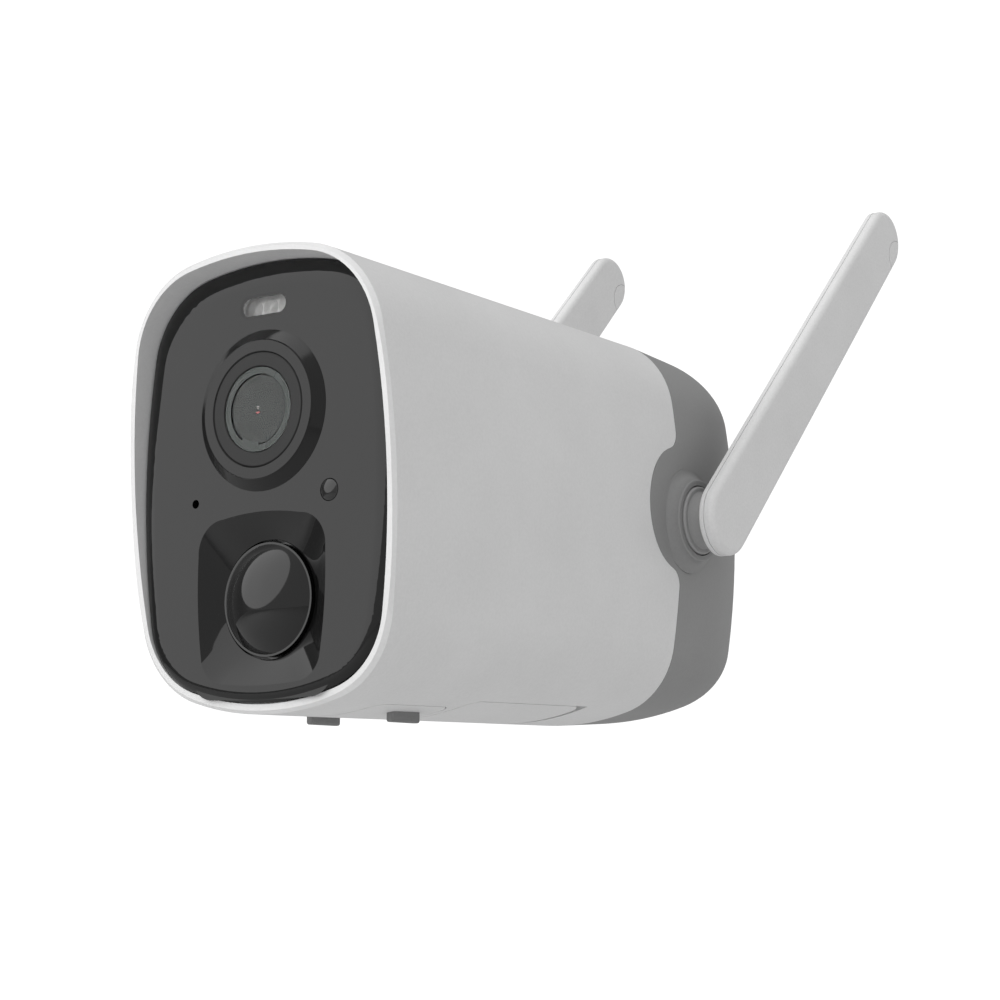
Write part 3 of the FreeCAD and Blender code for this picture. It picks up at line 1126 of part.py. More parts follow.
PARTS = {
    "front_shell": make_front_shell,
    "rear_cap": make_rear_cap,
    "face_panel": make_face_panel,
    "face_gasket": make_face_gasket,
    "lens_bezel": make_lens_bezel,
    "lens_trim_ring": make_lens_trim_ring,
    "lens_cover_glass": make_lens_cover_glass,
    "lens_barrel": make_lens_barrel,
    "lens_front_element": make_lens_front_element,
    "lens_holder": make_lens_holder,
    "ir_shuttle": make_ir_shuttle,
    "ir_filter_pane": lambda: shuttle_pane(0.0),
    "image_sensor": make_image_sensor,
    "sensor_board": make_sensor_board,
    "pir_dome": make_pir_dome,
    "pir_retainer": make_pir_retainer,
    "pir_sensor": make_pir_sensor,
    "front_board": make_front_board,
    "led_window": make_led_window,
    "leds": make_leds,
    "light_sensor_window": make_light_sensor_window,
    "front_sensors": make_front_sensors,
    "front_screws": make_front_screws,
    "inner_frame": make_inner_frame,
    "cell_cradle": make_cell_cradle,
    "cell_contacts": make_cell_contacts,
    "main_board": make_main_board,
    "shield_cans": make_shield_cans,
    "board_chips": make_board_chips,
    "port_bay": make_port_bay,
    "port_board": make_port_board,
    "usb_connector": make_usb_connector,
    "card_socket": make_card_socket,
    "memory_card": make_memory_card,
    "switches": make_switches,
    "power_button": lambda: button(POWER_X, POWER_R),
    "reset_button": lambda: button(RESET_X, RESET_R),
    "port_cover": make_port_cover,
    "cover_seal": make_cover_seal,
    "hinge_pin": make_hinge_pin,
    "service_hatch": make_service_hatch,
    "rear_gasket": make_rear_gasket,
    "rear_screws": make_rear_screws,
    "mount_insert": make_mount_insert,
    "speaker": make_speaker,
    "feet": lambda: group(make_foot(side) for _, side in SIDES),
    "hub_bushes": lambda: group(make_hub_bush(side) for _, side in SIDES),
    "coax_leads": lambda: group(make_coax(side) for _, side in SIDES),
}
PAIRED_PARTS = {
    "battery_cell_{}": make_cell,
    "antenna_{}_thin_half": make_antenna_thin_half,
    "antenna_{}_thick_half": make_antenna_thick_half,
    "antenna_{}_hub": make_antenna_hub,
    "antenna_{}_element": make_antenna_element,
    "antenna_{}_nut": make_antenna_nut,
}

ORIGIN = Vector(0, BACK, MOUNT_Z)


def export(name, shape):
    shape.translate(ORIGIN.negative())
    shape.exportStep("parts/" + name + ".step")


for name, maker in PARTS.items():
    export(name, maker())
for pattern, maker in PAIRED_PARTS.items():
    for side_name, side in SIDES:
        export(pattern.format(side_name), maker(side))
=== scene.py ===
"""Looks for a battery security camera with a hooded front and two folding antennas.

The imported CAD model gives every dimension. This script dresses its nodes, adds the fine parts that a solid
model leaves out, and sets up the studio. All sizes are in metres in the model's own frame.
"""

from __future__ import annotations

import json
import logging
import math
from dataclasses import dataclass
from enum import Enum

import bmesh
import bpy
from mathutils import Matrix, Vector

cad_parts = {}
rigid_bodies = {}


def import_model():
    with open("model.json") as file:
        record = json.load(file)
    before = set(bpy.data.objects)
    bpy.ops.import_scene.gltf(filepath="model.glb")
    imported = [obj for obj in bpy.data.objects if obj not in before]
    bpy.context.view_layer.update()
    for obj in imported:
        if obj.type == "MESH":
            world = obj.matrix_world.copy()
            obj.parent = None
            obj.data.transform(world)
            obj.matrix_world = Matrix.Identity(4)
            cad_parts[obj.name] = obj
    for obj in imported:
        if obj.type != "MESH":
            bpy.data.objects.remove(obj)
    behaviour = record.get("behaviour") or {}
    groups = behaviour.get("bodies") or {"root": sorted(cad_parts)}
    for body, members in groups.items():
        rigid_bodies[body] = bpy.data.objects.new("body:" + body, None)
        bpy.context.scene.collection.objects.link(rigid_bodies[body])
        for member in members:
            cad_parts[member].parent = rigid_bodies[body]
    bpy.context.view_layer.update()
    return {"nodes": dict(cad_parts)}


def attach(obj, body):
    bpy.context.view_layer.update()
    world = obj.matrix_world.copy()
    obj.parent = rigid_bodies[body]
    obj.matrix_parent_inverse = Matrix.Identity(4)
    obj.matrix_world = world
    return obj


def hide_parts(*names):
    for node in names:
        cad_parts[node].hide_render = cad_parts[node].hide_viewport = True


LOG = logging.getLogger("security_camera")
MM = 0.001
LENS_CENTRE = Vector((0.0, -0.143, 0.014))
CAMERA_BODY = "camera"
MERGE_DISTANCE = 1e-7
SHARP_ANGLE = math.radians(32.0)

Colour = tuple[float, float, float]


def at(x: float, y: float, z: float) -> Vector:
    """Returns the place of a point given in millimetres from the lens centre on the front panel's face."""
    return LENS_CENTRE + Vector((x, y, z)) * MM


# ---------------------------------------------------------------- shader building
class Graph:
    """A node tree under construction, with short calls to add and join nodes."""

    def __init__(self, tree: bpy.types.NodeTree) -> None:
        """Args:
            tree: the shader or geometry tree to add nodes to.
        """
        self.tree = tree

    def add(self, kind: str, **settings: object) -> bpy.types.Node:
        """Adds one node.

        Args:
            kind: the node's Blender class name.
            settings: attributes to set on it, such as operation="ADD".

        Returns:
            The new node.
        """
        node = self.tree.nodes.new(kind)
        for name, value in settings.items():
            setattr(node, name, value)
        return node

    def join(self, source: bpy.types.NodeSocket, target: bpy.types.NodeSocket) -> None:
        """Links an output socket to an input socket."""
        self.tree.links.new(source, target)

    def math(self, kind: str, first: object, second: object) -> bpy.types.NodeSocket:
        """Adds a math node.

        Args:
            kind: the operation, such as "MULTIPLY".
            first: a socket or a number.
            second: a socket or a number.

        Returns:
            The node's output socket.
        """
        node = self.add("ShaderNodeMath", operation=kind)
        for slot, value in zip(node.inputs, (first, second)):
            if isinstance(value, bpy.types.NodeSocket):
                self.join(value, slot)
            else:
                slot.default_value = value
        return node.outputs[0]


def new_group(name: str, inputs: dict[str, str],
              outputs: dict[str, str]) -> tuple[Graph, bpy.types.Node, bpy.types.Node]:
    """Makes an empty shader group.

    Args:
        name: the group's name.
        inputs: input names and their socket kinds, "Float", "Color" or "Vector".
        outputs: the same for its outputs.

    Returns:
        The group's graph, its input node and its output node.
    """
    tree = bpy.data.node_groups.new(name, "ShaderNodeTree")
    for label, kind in inputs.items():
        tree.interface.new_socket(label, in_out="INPUT", socket_type="NodeSocket" + kind)
    for label, kind in outputs.items():
        tree.interface.new_socket(label, in_out="OUTPUT", socket_type="NodeSocket" + kind)
    graph = Graph(tree)
    return graph, graph.add("NodeGroupInput"), graph.add("NodeGroupOutput")


class SurfaceGroups:
    """The shader groups that several finishes share."""

    BROAD_SCALE = 55.0
    SMUDGE_SCALE = 38.0
    SMUDGE_TWIST = 0.6
    GRAIN_GLOSS = 0.6
    LINE_STRETCH = (1.0, 0.04, 1.0)
    LINE_CONTRAST = 0.3

    def __init__(self) -> None:
        """Builds each group once."""
        self.grain = self._moulded_grain()
        self.film = self._handled_film()
        self.brushing = self._brushed_lines()

    @staticmethod
    def _noise(g: Graph, place: bpy.types.NodeSocket, detail: float) -> bpy.types.Node:
        """Adds a noise texture read at a place.

        Args:
            g: the group's graph.
            place: the coordinates to read it at.
            detail: the number of finer layers.

        Returns:
            The noise node, with its scale still to be set.
        """
        noise = g.add("ShaderNodeTexNoise")
        noise.inputs["Detail"].default_value = detail
        g.join(place, noise.inputs["Vector"])
        return noise

    @staticmethod
    def _tinted(g: Graph, start: bpy.types.Node, end: bpy.types.Node, swing: bpy.types.NodeSocket) -> None:
        """Makes the group's colour lighter and darker with a swing about zero.

        Args:
            g: the group's graph.
            start: the group's input node.
            end: the group's output node.
            swing: how far the colour moves from its own value.
        """
        tint = g.add("ShaderNodeVectorMath", operation="SCALE")
        g.join(start.outputs["Colour"], tint.inputs[0])
        g.join(g.math("ADD", swing, 1.0), tint.inputs["Scale"])
        g.join(tint.outputs["Vector"], end.inputs["Colour"])

    def _moulded_grain(self) -> bpy.types.NodeTree:
        """Builds the group for the fine spark texture of moulded plastic.

        Returns:
            The group.
        """
        g, start, end = new_group(
            "Moulded grain",
            {"Colour": "Color", "Grain Scale": "Float", "Mottling": "Float", "Roughness": "Float"},
            {"Colour": "Color", "Roughness": "Float", "Height": "Float"})
        place = g.add("ShaderNodeTexCoord").outputs["Object"]
        fine = self._noise(g, place, 2.0)
        g.join(start.outputs["Grain Scale"], fine.inputs["Scale"])
        broad = self._noise(g, place, 3.0)
        broad.inputs["Scale"].default_value = self.BROAD_SCALE
        both = g.math("ADD", fine.outputs["Fac"], broad.outputs["Fac"])
        swing = g.math("MULTIPLY", g.math("SUBTRACT", both, 1.0), start.outputs["Mottling"])
        self._tinted(g, start, end, swing)
        dulling = g.math("MULTIPLY", swing, self.GRAIN_GLOSS)
        g.join(g.math("ADD", start.outputs["Roughness"], dulling), end.inputs["Roughness"])
        g.join(fine.outputs["Fac"], end.inputs["Height"])
        return g.tree

    def _handled_film(self) -> bpy.types.NodeTree:
        """Builds the group for the faint uneven film on glossy surfaces.

        Returns:
            The group.
        """
        g, start, end = new_group(
            "Handled film",
            {"Colour": "Color", "Roughness": "Float", "Spread": "Float"},
            {"Colour": "Color", "Roughness": "Float", "Height": "Float"})
        smudge = self._noise(g, g.add("ShaderNodeTexCoord").outputs["Object"], 4.0)
        smudge.inputs["Scale"].default_value = self.SMUDGE_SCALE
        smudge.inputs["Distortion"].default_value = self.SMUDGE_TWIST
        swing = g.math("MULTIPLY", g.math("SUBTRACT", smudge.outputs["Fac"], 0.5), start.outputs["Spread"])
        self._tinted(g, start, end, swing)
        g.join(g.math("ADD", start.outputs["Roughness"], swing), end.inputs["Roughness"])
        g.join(smudge.outputs["Fac"], end.inputs["Height"])
        return g.tree

    def _brushed_lines(self) -> bpy.types.NodeTree:
        """Builds the group for fine drawn lines on metal.

        Returns:
            The group.
        """
        g, start, end = new_group(
            "Drawn metal",
            {"Colour": "Color", "Roughness": "Float", "Line Scale": "Float"},
            {"Colour": "Color", "Roughness": "Float", "Height": "Float"})
        stretch = g.add("ShaderNodeMapping")
        stretch.inputs["Scale"].default_value = self.LINE_STRETCH
        g.join(g.add("ShaderNodeTexCoord").outputs["Object"], stretch.inputs["Vector"])
        lines = self._noise(g, stretch.outputs["Vector"], 3.0)
        g.join(start.outputs["Line Scale"], lines.inputs["Scale"])
        swing = g.math("MULTIPLY", g.math("SUBTRACT", lines.outputs["Fac"], 0.5), self.LINE_CONTRAST)
        self._tinted(g, start, end, swing)
        g.join(g.math("ADD", start.outputs["Roughness"], swing), end.inputs["Roughness"])
        g.join(lines.outputs["Fac"], end.inputs["Height"])
        return g.tree


class Surface(Enum):
    """Which shared group gives a finish its variation."""

    GRAINED = "grain"
    GLOSSY = "film"
    METAL = "brushing"


@dataclass(frozen=True)
class Finish:
    """One finish of the object, turned into a material by make."""

    name: str
    colour: Colour
    roughness: float
    surface: Surface = Surface.GRAINED
    metallic: float = 0.0
    grain_scale: float = 1500.0
    mottling: float = 0.10
    relief: float = 0.25
    relief_depth: float = 0.00004
    ior: float = 1.5
    transmission: float = 0.0

    def make(self, groups: SurfaceGroups) -> bpy.types.Material:
        """Builds the material.

        Args:
            groups: the shared shader groups.

        Returns:
            The finished material.
        """
        material = bpy.data.materials.new(self.name)
        material.use_nodes = True
        g = Graph(material.node_tree)
        g.tree.nodes.clear()
        shader = g.add("ShaderNodeBsdfPrincipled")
        end = g.add("ShaderNodeOutputMaterial")
        g.join(shader.outputs["BSDF"], end.inputs["Surface"])
        pattern = g.add("ShaderNodeGroup", node_tree=getattr(groups, self.surface.value))
        pattern.inputs["Colour"].default_value = (*self.colour, 1.0)
        pattern.inputs["Roughness"].default_value = self.roughness
        if self.surface is Surface.GRAINED:
            pattern.inputs["Grain Scale"].default_value = self.grain_scale
            pattern.inputs["Mottling"].default_value = self.mottling
        elif self.surface is Surface.GLOSSY:
            pattern.inputs["Spread"].default_value = self.mottling
        else:
            pattern.inputs["Line Scale"].default_value = self.grain_scale
        g.join(pattern.outputs["Colour"], shader.inputs["Base Color"])
        g.join(pattern.outputs["Roughness"], shader.inputs["Roughness"])
        bump = g.add("ShaderNodeBump")
        bump.inputs["Strength"].default_value = self.relief
        bump.inputs["Distance"].default_value = self.relief_depth
        g.join(pattern.outputs["Height"], bump.inputs["Height"])
        g.join(bump.outputs["Normal"], shader.inputs["Normal"])
        shader.inputs["Metallic"].default_value = self.metallic
        shader.inputs["IOR"].default_value = self.ior
        shader.inputs["Transmission Weight"].default_value = self.transmission
        return material


FLOOR_PALE = Finish("floor_pale", (0.72, 0.72, 0.72), 0.6, mottling=0.01, relief=0.0)
SHELL_WHITE = Finish("shell_white", (0.80, 0.80, 0.80), 0.48, relief=0.35)
ANTENNA_GREY = Finish("antenna_grey", (0.80, 0.80, 0.80), 0.50, grain_scale=1700.0, mottling=0.14,
                      relief=0.5)
CAP_GREY = Finish("cap_grey", (0.29, 0.29, 0.29), 0.52, mottling=0.14, relief=0.4)
FACE_BLACK = Finish("face_black", (0.005, 0.005, 0.005), 0.05, Surface.GLOSSY, mottling=0.02, relief=0.0,
                    ior=1.43)
LENS_BLACK = Finish("lens_black", (0.006, 0.006, 0.006), 0.10, Surface.GLOSSY, mottling=0.03, relief=0.0,
                    ior=1.40)
BARREL_BLACK = Finish("barrel_black", (0.004, 0.004, 0.004), 0.45, mottling=0.08, relief=0.1, ior=1.08)
TRIM_BLACK = Finish("trim_black", (0.012, 0.012, 0.012), 0.4, mottling=0.08, relief=0.1, ior=1.36)
COVER_GLASS = Finish("cover_glass", (0.95, 0.97, 0.96), 0.01, Surface.GLOSSY, mottling=0.01, relief=0.0,
                     ior=1.12, transmission=1.0)
LENS_GLASS = Finish("lens_glass", (0.10, 0.11, 0.11), 0.03, Surface.GLOSSY, mottling=0.01, relief=0.0,
                    ior=1.12,
                    transmission=1.0)
LENS_WINDOW = Finish("lens_window", (0.12, 0.12, 0.12), 0.02, Surface.GLOSSY, mottling=0.01,
                     relief=0.0, ior=1.45,
                     transmission=1.0)
GLASS_SEAT = Finish("glass_seat", (0.014, 0.019, 0.017), 0.10, Surface.GLOSSY, mottling=0.03,
                    relief=0.0, ior=1.50)
EYE_DARK = Finish("eye_dark", (0.012, 0.012, 0.012), 0.08, Surface.GLOSSY, mottling=0.04, relief=0.0)
# The antenna grey made darker for the hubs: painted shade for the shadow that each arm casts on its hub disc.
HUB_PAINTED_SHADE = Finish("hub_grey_painted_shade", (0.36, 0.36, 0.36), 0.50, grain_scale=1700.0, mottling=0.14, relief=0.5)
LAMP_CLEAR = Finish("lamp_clear", (0.93, 0.93, 0.93), 0.08, Surface.GLOSSY, mottling=0.02, relief=0.02,
                    ior=1.49,
                    transmission=1.0)
DOME_DARK = Finish("dome_dark", (0.006, 0.006, 0.006), 0.06, Surface.GLOSSY, mottling=0.02, relief=0.0,
                   ior=1.5)
RUBBER_GREY = Finish("rubber_grey", (0.22, 0.22, 0.22), 0.72, grain_scale=900.0, mottling=0.16, relief=0.4)
RUBBER_BLACK = Finish("rubber_black", (0.02, 0.02, 0.02), 0.75, grain_scale=900.0, mottling=0.16, relief=0.4)
INNER_BLACK = Finish("inner_black", (0.035, 0.035, 0.035), 0.5)
INNER_WHITE = Finish("inner_white", (0.74, 0.74, 0.72), 0.45)
BOARD_GREEN = Finish("board_green", (0.02, 0.14, 0.06), 0.3, Surface.GLOSSY, mottling=0.12, relief=0.1)
CHIP_BLACK = Finish("chip_black", (0.02, 0.02, 0.02), 0.55, grain_scale=2600.0)
PHOSPHOR = Finish("phosphor", (0.80, 0.68, 0.22), 0.4, grain_scale=2600.0)
STEEL = Finish("plated_steel", (0.58, 0.58, 0.58), 0.30, Surface.METAL, metallic=1.0, grain_scale=2400.0)
BRASS = Finish("turned_brass", (0.76, 0.56, 0.25), 0.28, Surface.METAL, metallic=1.0, grain_scale=2400.0)
COPPER = Finish("copper_foil", (0.80, 0.42, 0.26), 0.30, Surface.METAL, metallic=1.0, grain_scale=2400.0)
GOLD = Finish("gold_pads", (0.86, 0.62, 0.24), 0.22, Surface.METAL, metallic=1.0, grain_scale=3000.0)
CELL_WRAP = Finish("cell_wrap", (0.03, 0.16, 0.36), 0.30, Surface.GLOSSY, mottling=0.10, relief=0.05)
SENSOR_GLASS = Finish("sensor_glass", (0.05, 0.07, 0.06), 0.08, Surface.GLOSSY, mottling=0.04, relief=0.01)
FILTER_GLASS = Finish("filter_glass", (0.50, 0.72, 0.78), 0.03, Surface.GLOSSY, mottling=0.02, relief=0.0,
                      transmission=0.7)
# Bright red and pale colours for the glint arcs on the lens window: painted highlights that stand in for the
# lamp's reflections in inner lens elements.
RED_GLINT_PAINT = Finish("red_painted_glint", (0.80, 0.16, 0.18), 0.06, Surface.GLOSSY, mottling=0.04, relief=0.0)
PALE_GLINT_PAINT = Finish("pale_painted_glint", (0.80, 0.72, 0.74), 0.05, Surface.GLOSSY, mottling=0.04, relief=0.0)
LAMP_REFLECTOR = Finish("lamp_reflector", (0.50, 0.50, 0.49), 0.35, Surface.METAL, metallic=0.3,
                        grain_scale=2600.0)


class Wardrobe:
    """Makes each finish's material once and puts it on objects."""

    def __init__(self) -> None:
        """Builds the shared groups and an empty store of materials."""
        self.groups = SurfaceGroups()
        self._made: dict[str, bpy.types.Material] = {}

    def material(self, finish: Finish) -> bpy.types.Material:
        """Gives a finish's material, made on first use.

        Args:
            finish: the finish to use.

        Returns:
            The material.
        """
        if finish.name not in self._made:
            self._made[finish.name] = finish.make(self.groups)
        return self._made[finish.name]

    def dress(self, obj: bpy.types.Object, finish: Finish) -> None:
        """Puts one finish on every slot of an object.

        Args:
            obj: a CAD node's object or an added piece.
            finish: the finish to use.
        """
        if not obj.material_slots:
            obj.data.materials.append(None)
        for slot in obj.material_slots:
            slot.material = self.material(finish)


# ---------------------------------------------------------------- mesh building
def add_object(name: str, bm: bmesh.types.BMesh, body: str) -> bpy.types.Object:
    """Turns a bmesh into a smooth-shaded object that rides on a body.

    Args:
        name: the object's name.
        bm: the mesh, which is freed.
        body: the CAD body that it moves with.

    Returns:
        The new object, at the origin.
    """
    bmesh.ops.remove_doubles(bm, verts=bm.verts, dist=MERGE_DISTANCE)
    bmesh.ops.recalc_face_normals(bm, faces=bm.faces)
    mesh = bpy.data.meshes.new(name)
    bm.to_mesh(mesh)
    bm.free()
    obj = bpy.data.objects.new(name, mesh)
    bpy.context.collection.objects.link(obj)
    mesh.shade_smooth()
    mesh.set_sharp_from_angle(angle=SHARP_ANGLE)
    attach(obj, body)
    LOG.info("%s: %d faces on %s", name, len(mesh.polygons), body)
    return obj


def lathe(profile: list[tuple[float, float]], centre: Vector, steps: int = 96) -> bmesh.types.BMesh:
    """Turns a closed outline about an axis along Y.

    Args:
        profile: (radius, distance behind the centre) points in millimetres; a radius of 0 lies on the axis.
        centre: the axis point that the distances are counted from.
        steps: the number of divisions round the turn.

    Returns:
        The closed mesh.
    """
    bm = bmesh.new()
    rings = []
    for radius, depth in profile:
        if radius <= 0.0:
            rings.append([bm.verts.new(centre + Vector((0.0, depth, 0.0)) * MM)])
            continue
        ring = []
        for i in range(steps):
            a = 2.0 * math.pi * i / steps
            point = Vector((radius * math.cos(a), depth, radius * math.sin(a)))
            ring.append(bm.verts.new(centre + point * MM))
        rings.append(ring)
    for here, there in zip(rings, rings[1:] + rings[:1]):
        if len(here) == 1 and len(there) == 1:
            continue
        for i in range(steps):
            j = (i + 1) % steps
            corners = [here[i % len(here)], here[j % len(here)], there[j % len(there)], there[i % len(there)]]
            bm.faces.new(list(dict.fromkeys(corners)))
    return bm


def stadium(half_length: float, half_height: float, depth: float, centre: Vector,
            steps: int = 20) -> list[Vector]:
    """Outlines a slot with round ends that faces along Y.

    Args:
        half_length: half of the overall width in millimetres.
        half_height: half of the height, which is also the ends' radius.
        depth: the distance behind the centre.
        centre: the slot's middle.
        steps: the divisions of each round end.

    Returns:
        The points in order.
    """
    points = []
    for side in (1.0, -1.0):
        for i in range(steps + 1):
            a = math.pi * i / steps - math.pi / 2.0
            x = side * (half_length - half_height + half_height * math.cos(a))
            points.append(centre + Vector((x, depth, side * half_height * math.sin(a))) * MM)
    return points


def bridge(bm: bmesh.types.BMesh, outlines: list[list[Vector]], closed: bool) -> None:
    """Joins outlines of equal length with quads.

    Args:
        bm: the mesh to add to.
        outlines: the outlines in order.
        closed: True joins the last to the first, False caps both ends.
    """
    rings = [[bm.verts.new(point) for point in outline] for outline in outlines]
    count = len(rings[0])
    for here, there in zip(rings, rings[1:] + (rings[:1] if closed else [])):
        for i in range(count):
            j = (i + 1) % count
            bm.faces.new((here[i], here[j], there[j], there[i]))
    if not closed:
        bm.faces.new(rings[0])
        bm.faces.new(rings[-1])


def sector(inner: float, outer: float, start: float, end: float, front: float, back: float,
           steps: int = 16) -> bmesh.types.BMesh:
    """Makes part of a flat ring about the lens axis.

    Args:
        inner: the ring's inner radius in millimetres.
        outer: its outer radius.
        start: where it starts, in degrees from +X towards +Z.
        end: where it ends.
        front: the front face's distance behind the lens centre.
        back: the back face's distance.
        steps: the divisions along it.

    Returns:
        The closed mesh.
    """
    bm = bmesh.new()
    cuts = []
    for i in range(steps + 1):
        a = math.radians(start + (end - start) * i / steps)
        cuts.append([at(r * math.cos(a), depth, r * math.sin(a))
                     for r, depth in ((inner, front), (outer, front), (outer, back), (inner, back))])
    bridge(bm, cuts, False)
    return bm


class RepeatTree:
    """A Geometry Nodes tree that ends in plain geometry with one material."""

    def __init__(self, name: str, inputs: dict[str, str], material: bpy.types.Material) -> None:
        """Args:
            name: the tree's name.
            inputs: input names and their socket kinds, such as "Float".
            material: the material set on the result.
        """
        self.tree = bpy.data.node_groups.new(name, "GeometryNodeTree")
        for label, kind in inputs.items():
            self.tree.interface.new_socket(label, in_out="INPUT", socket_type="NodeSocket" + kind)
        self.tree.interface.new_socket("Geometry", in_out="OUTPUT", socket_type="NodeSocketGeometry")
        self.graph = Graph(self.tree)
        self.start = self.graph.add("NodeGroupInput")
        self.material = material

    def close(self, result: bpy.types.NodeSocket) -> None:
        """Ends the tree in real geometry with its material.

        Args:
            result: the geometry or instances to end with.
        """
        g = self.graph
        solid = g.add("GeometryNodeRealizeInstances")
        g.join(result, solid.inputs["Geometry"])
        painted = g.add("GeometryNodeSetMaterial")
        painted.inputs["Material"].default_value = self.material
        g.join(solid.outputs["Geometry"], painted.inputs["Geometry"])
        g.join(painted.outputs["Geometry"], g.add("NodeGroupOutput").inputs["Geometry"])


class RowTree(RepeatTree):
    """Repeats a small block in a grid and leaves some out at random."""

    def __init__(self, name: str, material: bpy.types.Material) -> None:
        """Args:
            name: the tree's name.
            material: the material set on the result.
        """
        super().__init__(name, {"Across": "Int", "Along": "Int", "Width": "Float", "Length": "Float",
                                "Block": "Vector", "Centre": "Vector", "Turn": "Vector",
                                "Drop Out": "Float", "Seed": "Int"}, material)
        g = self.graph
        given = self.start.outputs
        grid = g.add("GeometryNodeMeshGrid")
        for label, socket in (("Width", "Size X"), ("Length", "Size Y"), ("Across", "Vertices X"),
                              ("Along", "Vertices Y")):
            g.join(given[label], grid.inputs[socket])
        block = g.add("GeometryNodeMeshCube")
        g.join(given["Block"], block.inputs["Size"])
        chance = g.add("FunctionNodeRandomValue", data_type="FLOAT")
        g.join(given["Seed"], chance.inputs["Seed"])
        keep = g.add("FunctionNodeCompare", data_type="FLOAT", operation="GREATER_THAN")
        g.join(chance.outputs[1], keep.inputs[0])
        g.join(given["Drop Out"], keep.inputs[1])
        spread = g.add("GeometryNodeInstanceOnPoints")
        g.join(grid.outputs["Mesh"], spread.inputs["Points"])
        g.join(keep.outputs[0], spread.inputs["Selection"])
        g.join(block.outputs["Mesh"], spread.inputs["Instance"])
        turn = g.add("FunctionNodeEulerToRotation")
        g.join(given["Turn"], turn.inputs["Euler"])
        stand = g.add("GeometryNodeTransform")
        g.join(spread.outputs["Instances"], stand.inputs["Geometry"])
        g.join(given["Centre"], stand.inputs["Translation"])
        g.join(turn.outputs["Rotation"], stand.inputs["Rotation"])
        self.close(stand.outputs["Geometry"])


class HelixTree(RepeatTree):
    """Winds a V-shaped thread along Y."""

    STEPS_PER_TURN = 36
    RIDGE_CORNERS = 4

    def __init__(self, name: str, material: bpy.types.Material) -> None:
        """Args:
            name: the tree's name.
            material: the material set on the result.
        """
        super().__init__(name, {"Turns": "Float", "Radius": "Float", "Length": "Float", "Ridge": "Float",
                                "Start": "Vector"}, material)
        g = self.graph
        given = self.start.outputs
        coil = g.add("GeometryNodeCurveSpiral")
        coil.inputs["Resolution"].default_value = self.STEPS_PER_TURN
        for label, socket in (("Turns", "Rotations"), ("Radius", "Start Radius"), ("Radius", "End Radius"),
                              ("Length", "Height")):
            g.join(given[label], coil.inputs[socket])
        ridge = g.add("GeometryNodeCurvePrimitiveCircle")
        ridge.inputs["Resolution"].default_value = self.RIDGE_CORNERS
        g.join(given["Ridge"], ridge.inputs["Radius"])
        swept = g.add("GeometryNodeCurveToMesh")
        swept.inputs["Fill Caps"].default_value = True
        g.join(coil.outputs["Curve"], swept.inputs["Curve"])
        g.join(ridge.outputs["Curve"], swept.inputs["Profile Curve"])
        stand = g.add("GeometryNodeTransform")
        stand.inputs["Rotation"].default_value = (math.radians(-90.0), 0.0, 0.0)
        g.join(swept.outputs["Mesh"], stand.inputs["Geometry"])
        g.join(given["Start"], stand.inputs["Translation"])
        self.close(stand.outputs["Geometry"])


def grow(name: str, tree: bpy.types.NodeTree, values: dict[str, object], body: str) -> bpy.types.Object:
    """Runs a Geometry Nodes tree and keeps its result as a plain mesh.

    Args:
        name: the new object's name.
        tree: the tree to run.
        values: the tree's inputs by name.
        body: the CAD body that the result moves with.

    Returns:
        The new object.
    """
    source = bpy.data.objects.new(name + "_source", bpy.data.meshes.new(name + "_source"))
    bpy.context.collection.objects.link(source)
    modifier = source.modifiers.new("grow", "NODES")
    modifier.node_group = tree
    for item in tree.interface.items_tree:
        if item.item_type == "SOCKET" and item.in_out == "INPUT" and item.name in values:
            modifier[item.identifier] = values[item.name]
    graph = bpy.context.evaluated_depsgraph_get()
    mesh = bpy.data.meshes.new_from_object(source.evaluated_get(graph))
    mesh.name = name
    source.modifiers.remove(modifier)
    bpy.data.objects.remove(source)
    obj = bpy.data.objects.new(name, mesh)
    bpy.context.collection.objects.link(obj)
    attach(obj, body)
    LOG.info("%s: %d faces on %s", name, len(mesh.polygons), body)
    return obj


# ---------------------------------------------------------------- sub-assemblies
class SubAssembly:
    """One group of pieces, with its CAD nodes' finishes and the pieces it adds."""

    def dress(self, nodes: dict[str, bpy.types.Object], wardrobe: Wardrobe) -> None:
        """Gives the CAD nodes their finishes.

        Args:
            nodes: the CAD nodes by name.
            wardrobe: the store of materials.
        """
        raise NotImplementedError

    def build(self, wardrobe: Wardrobe) -> None:
        """Adds no pieces unless the sub-assembly has some of its own."""


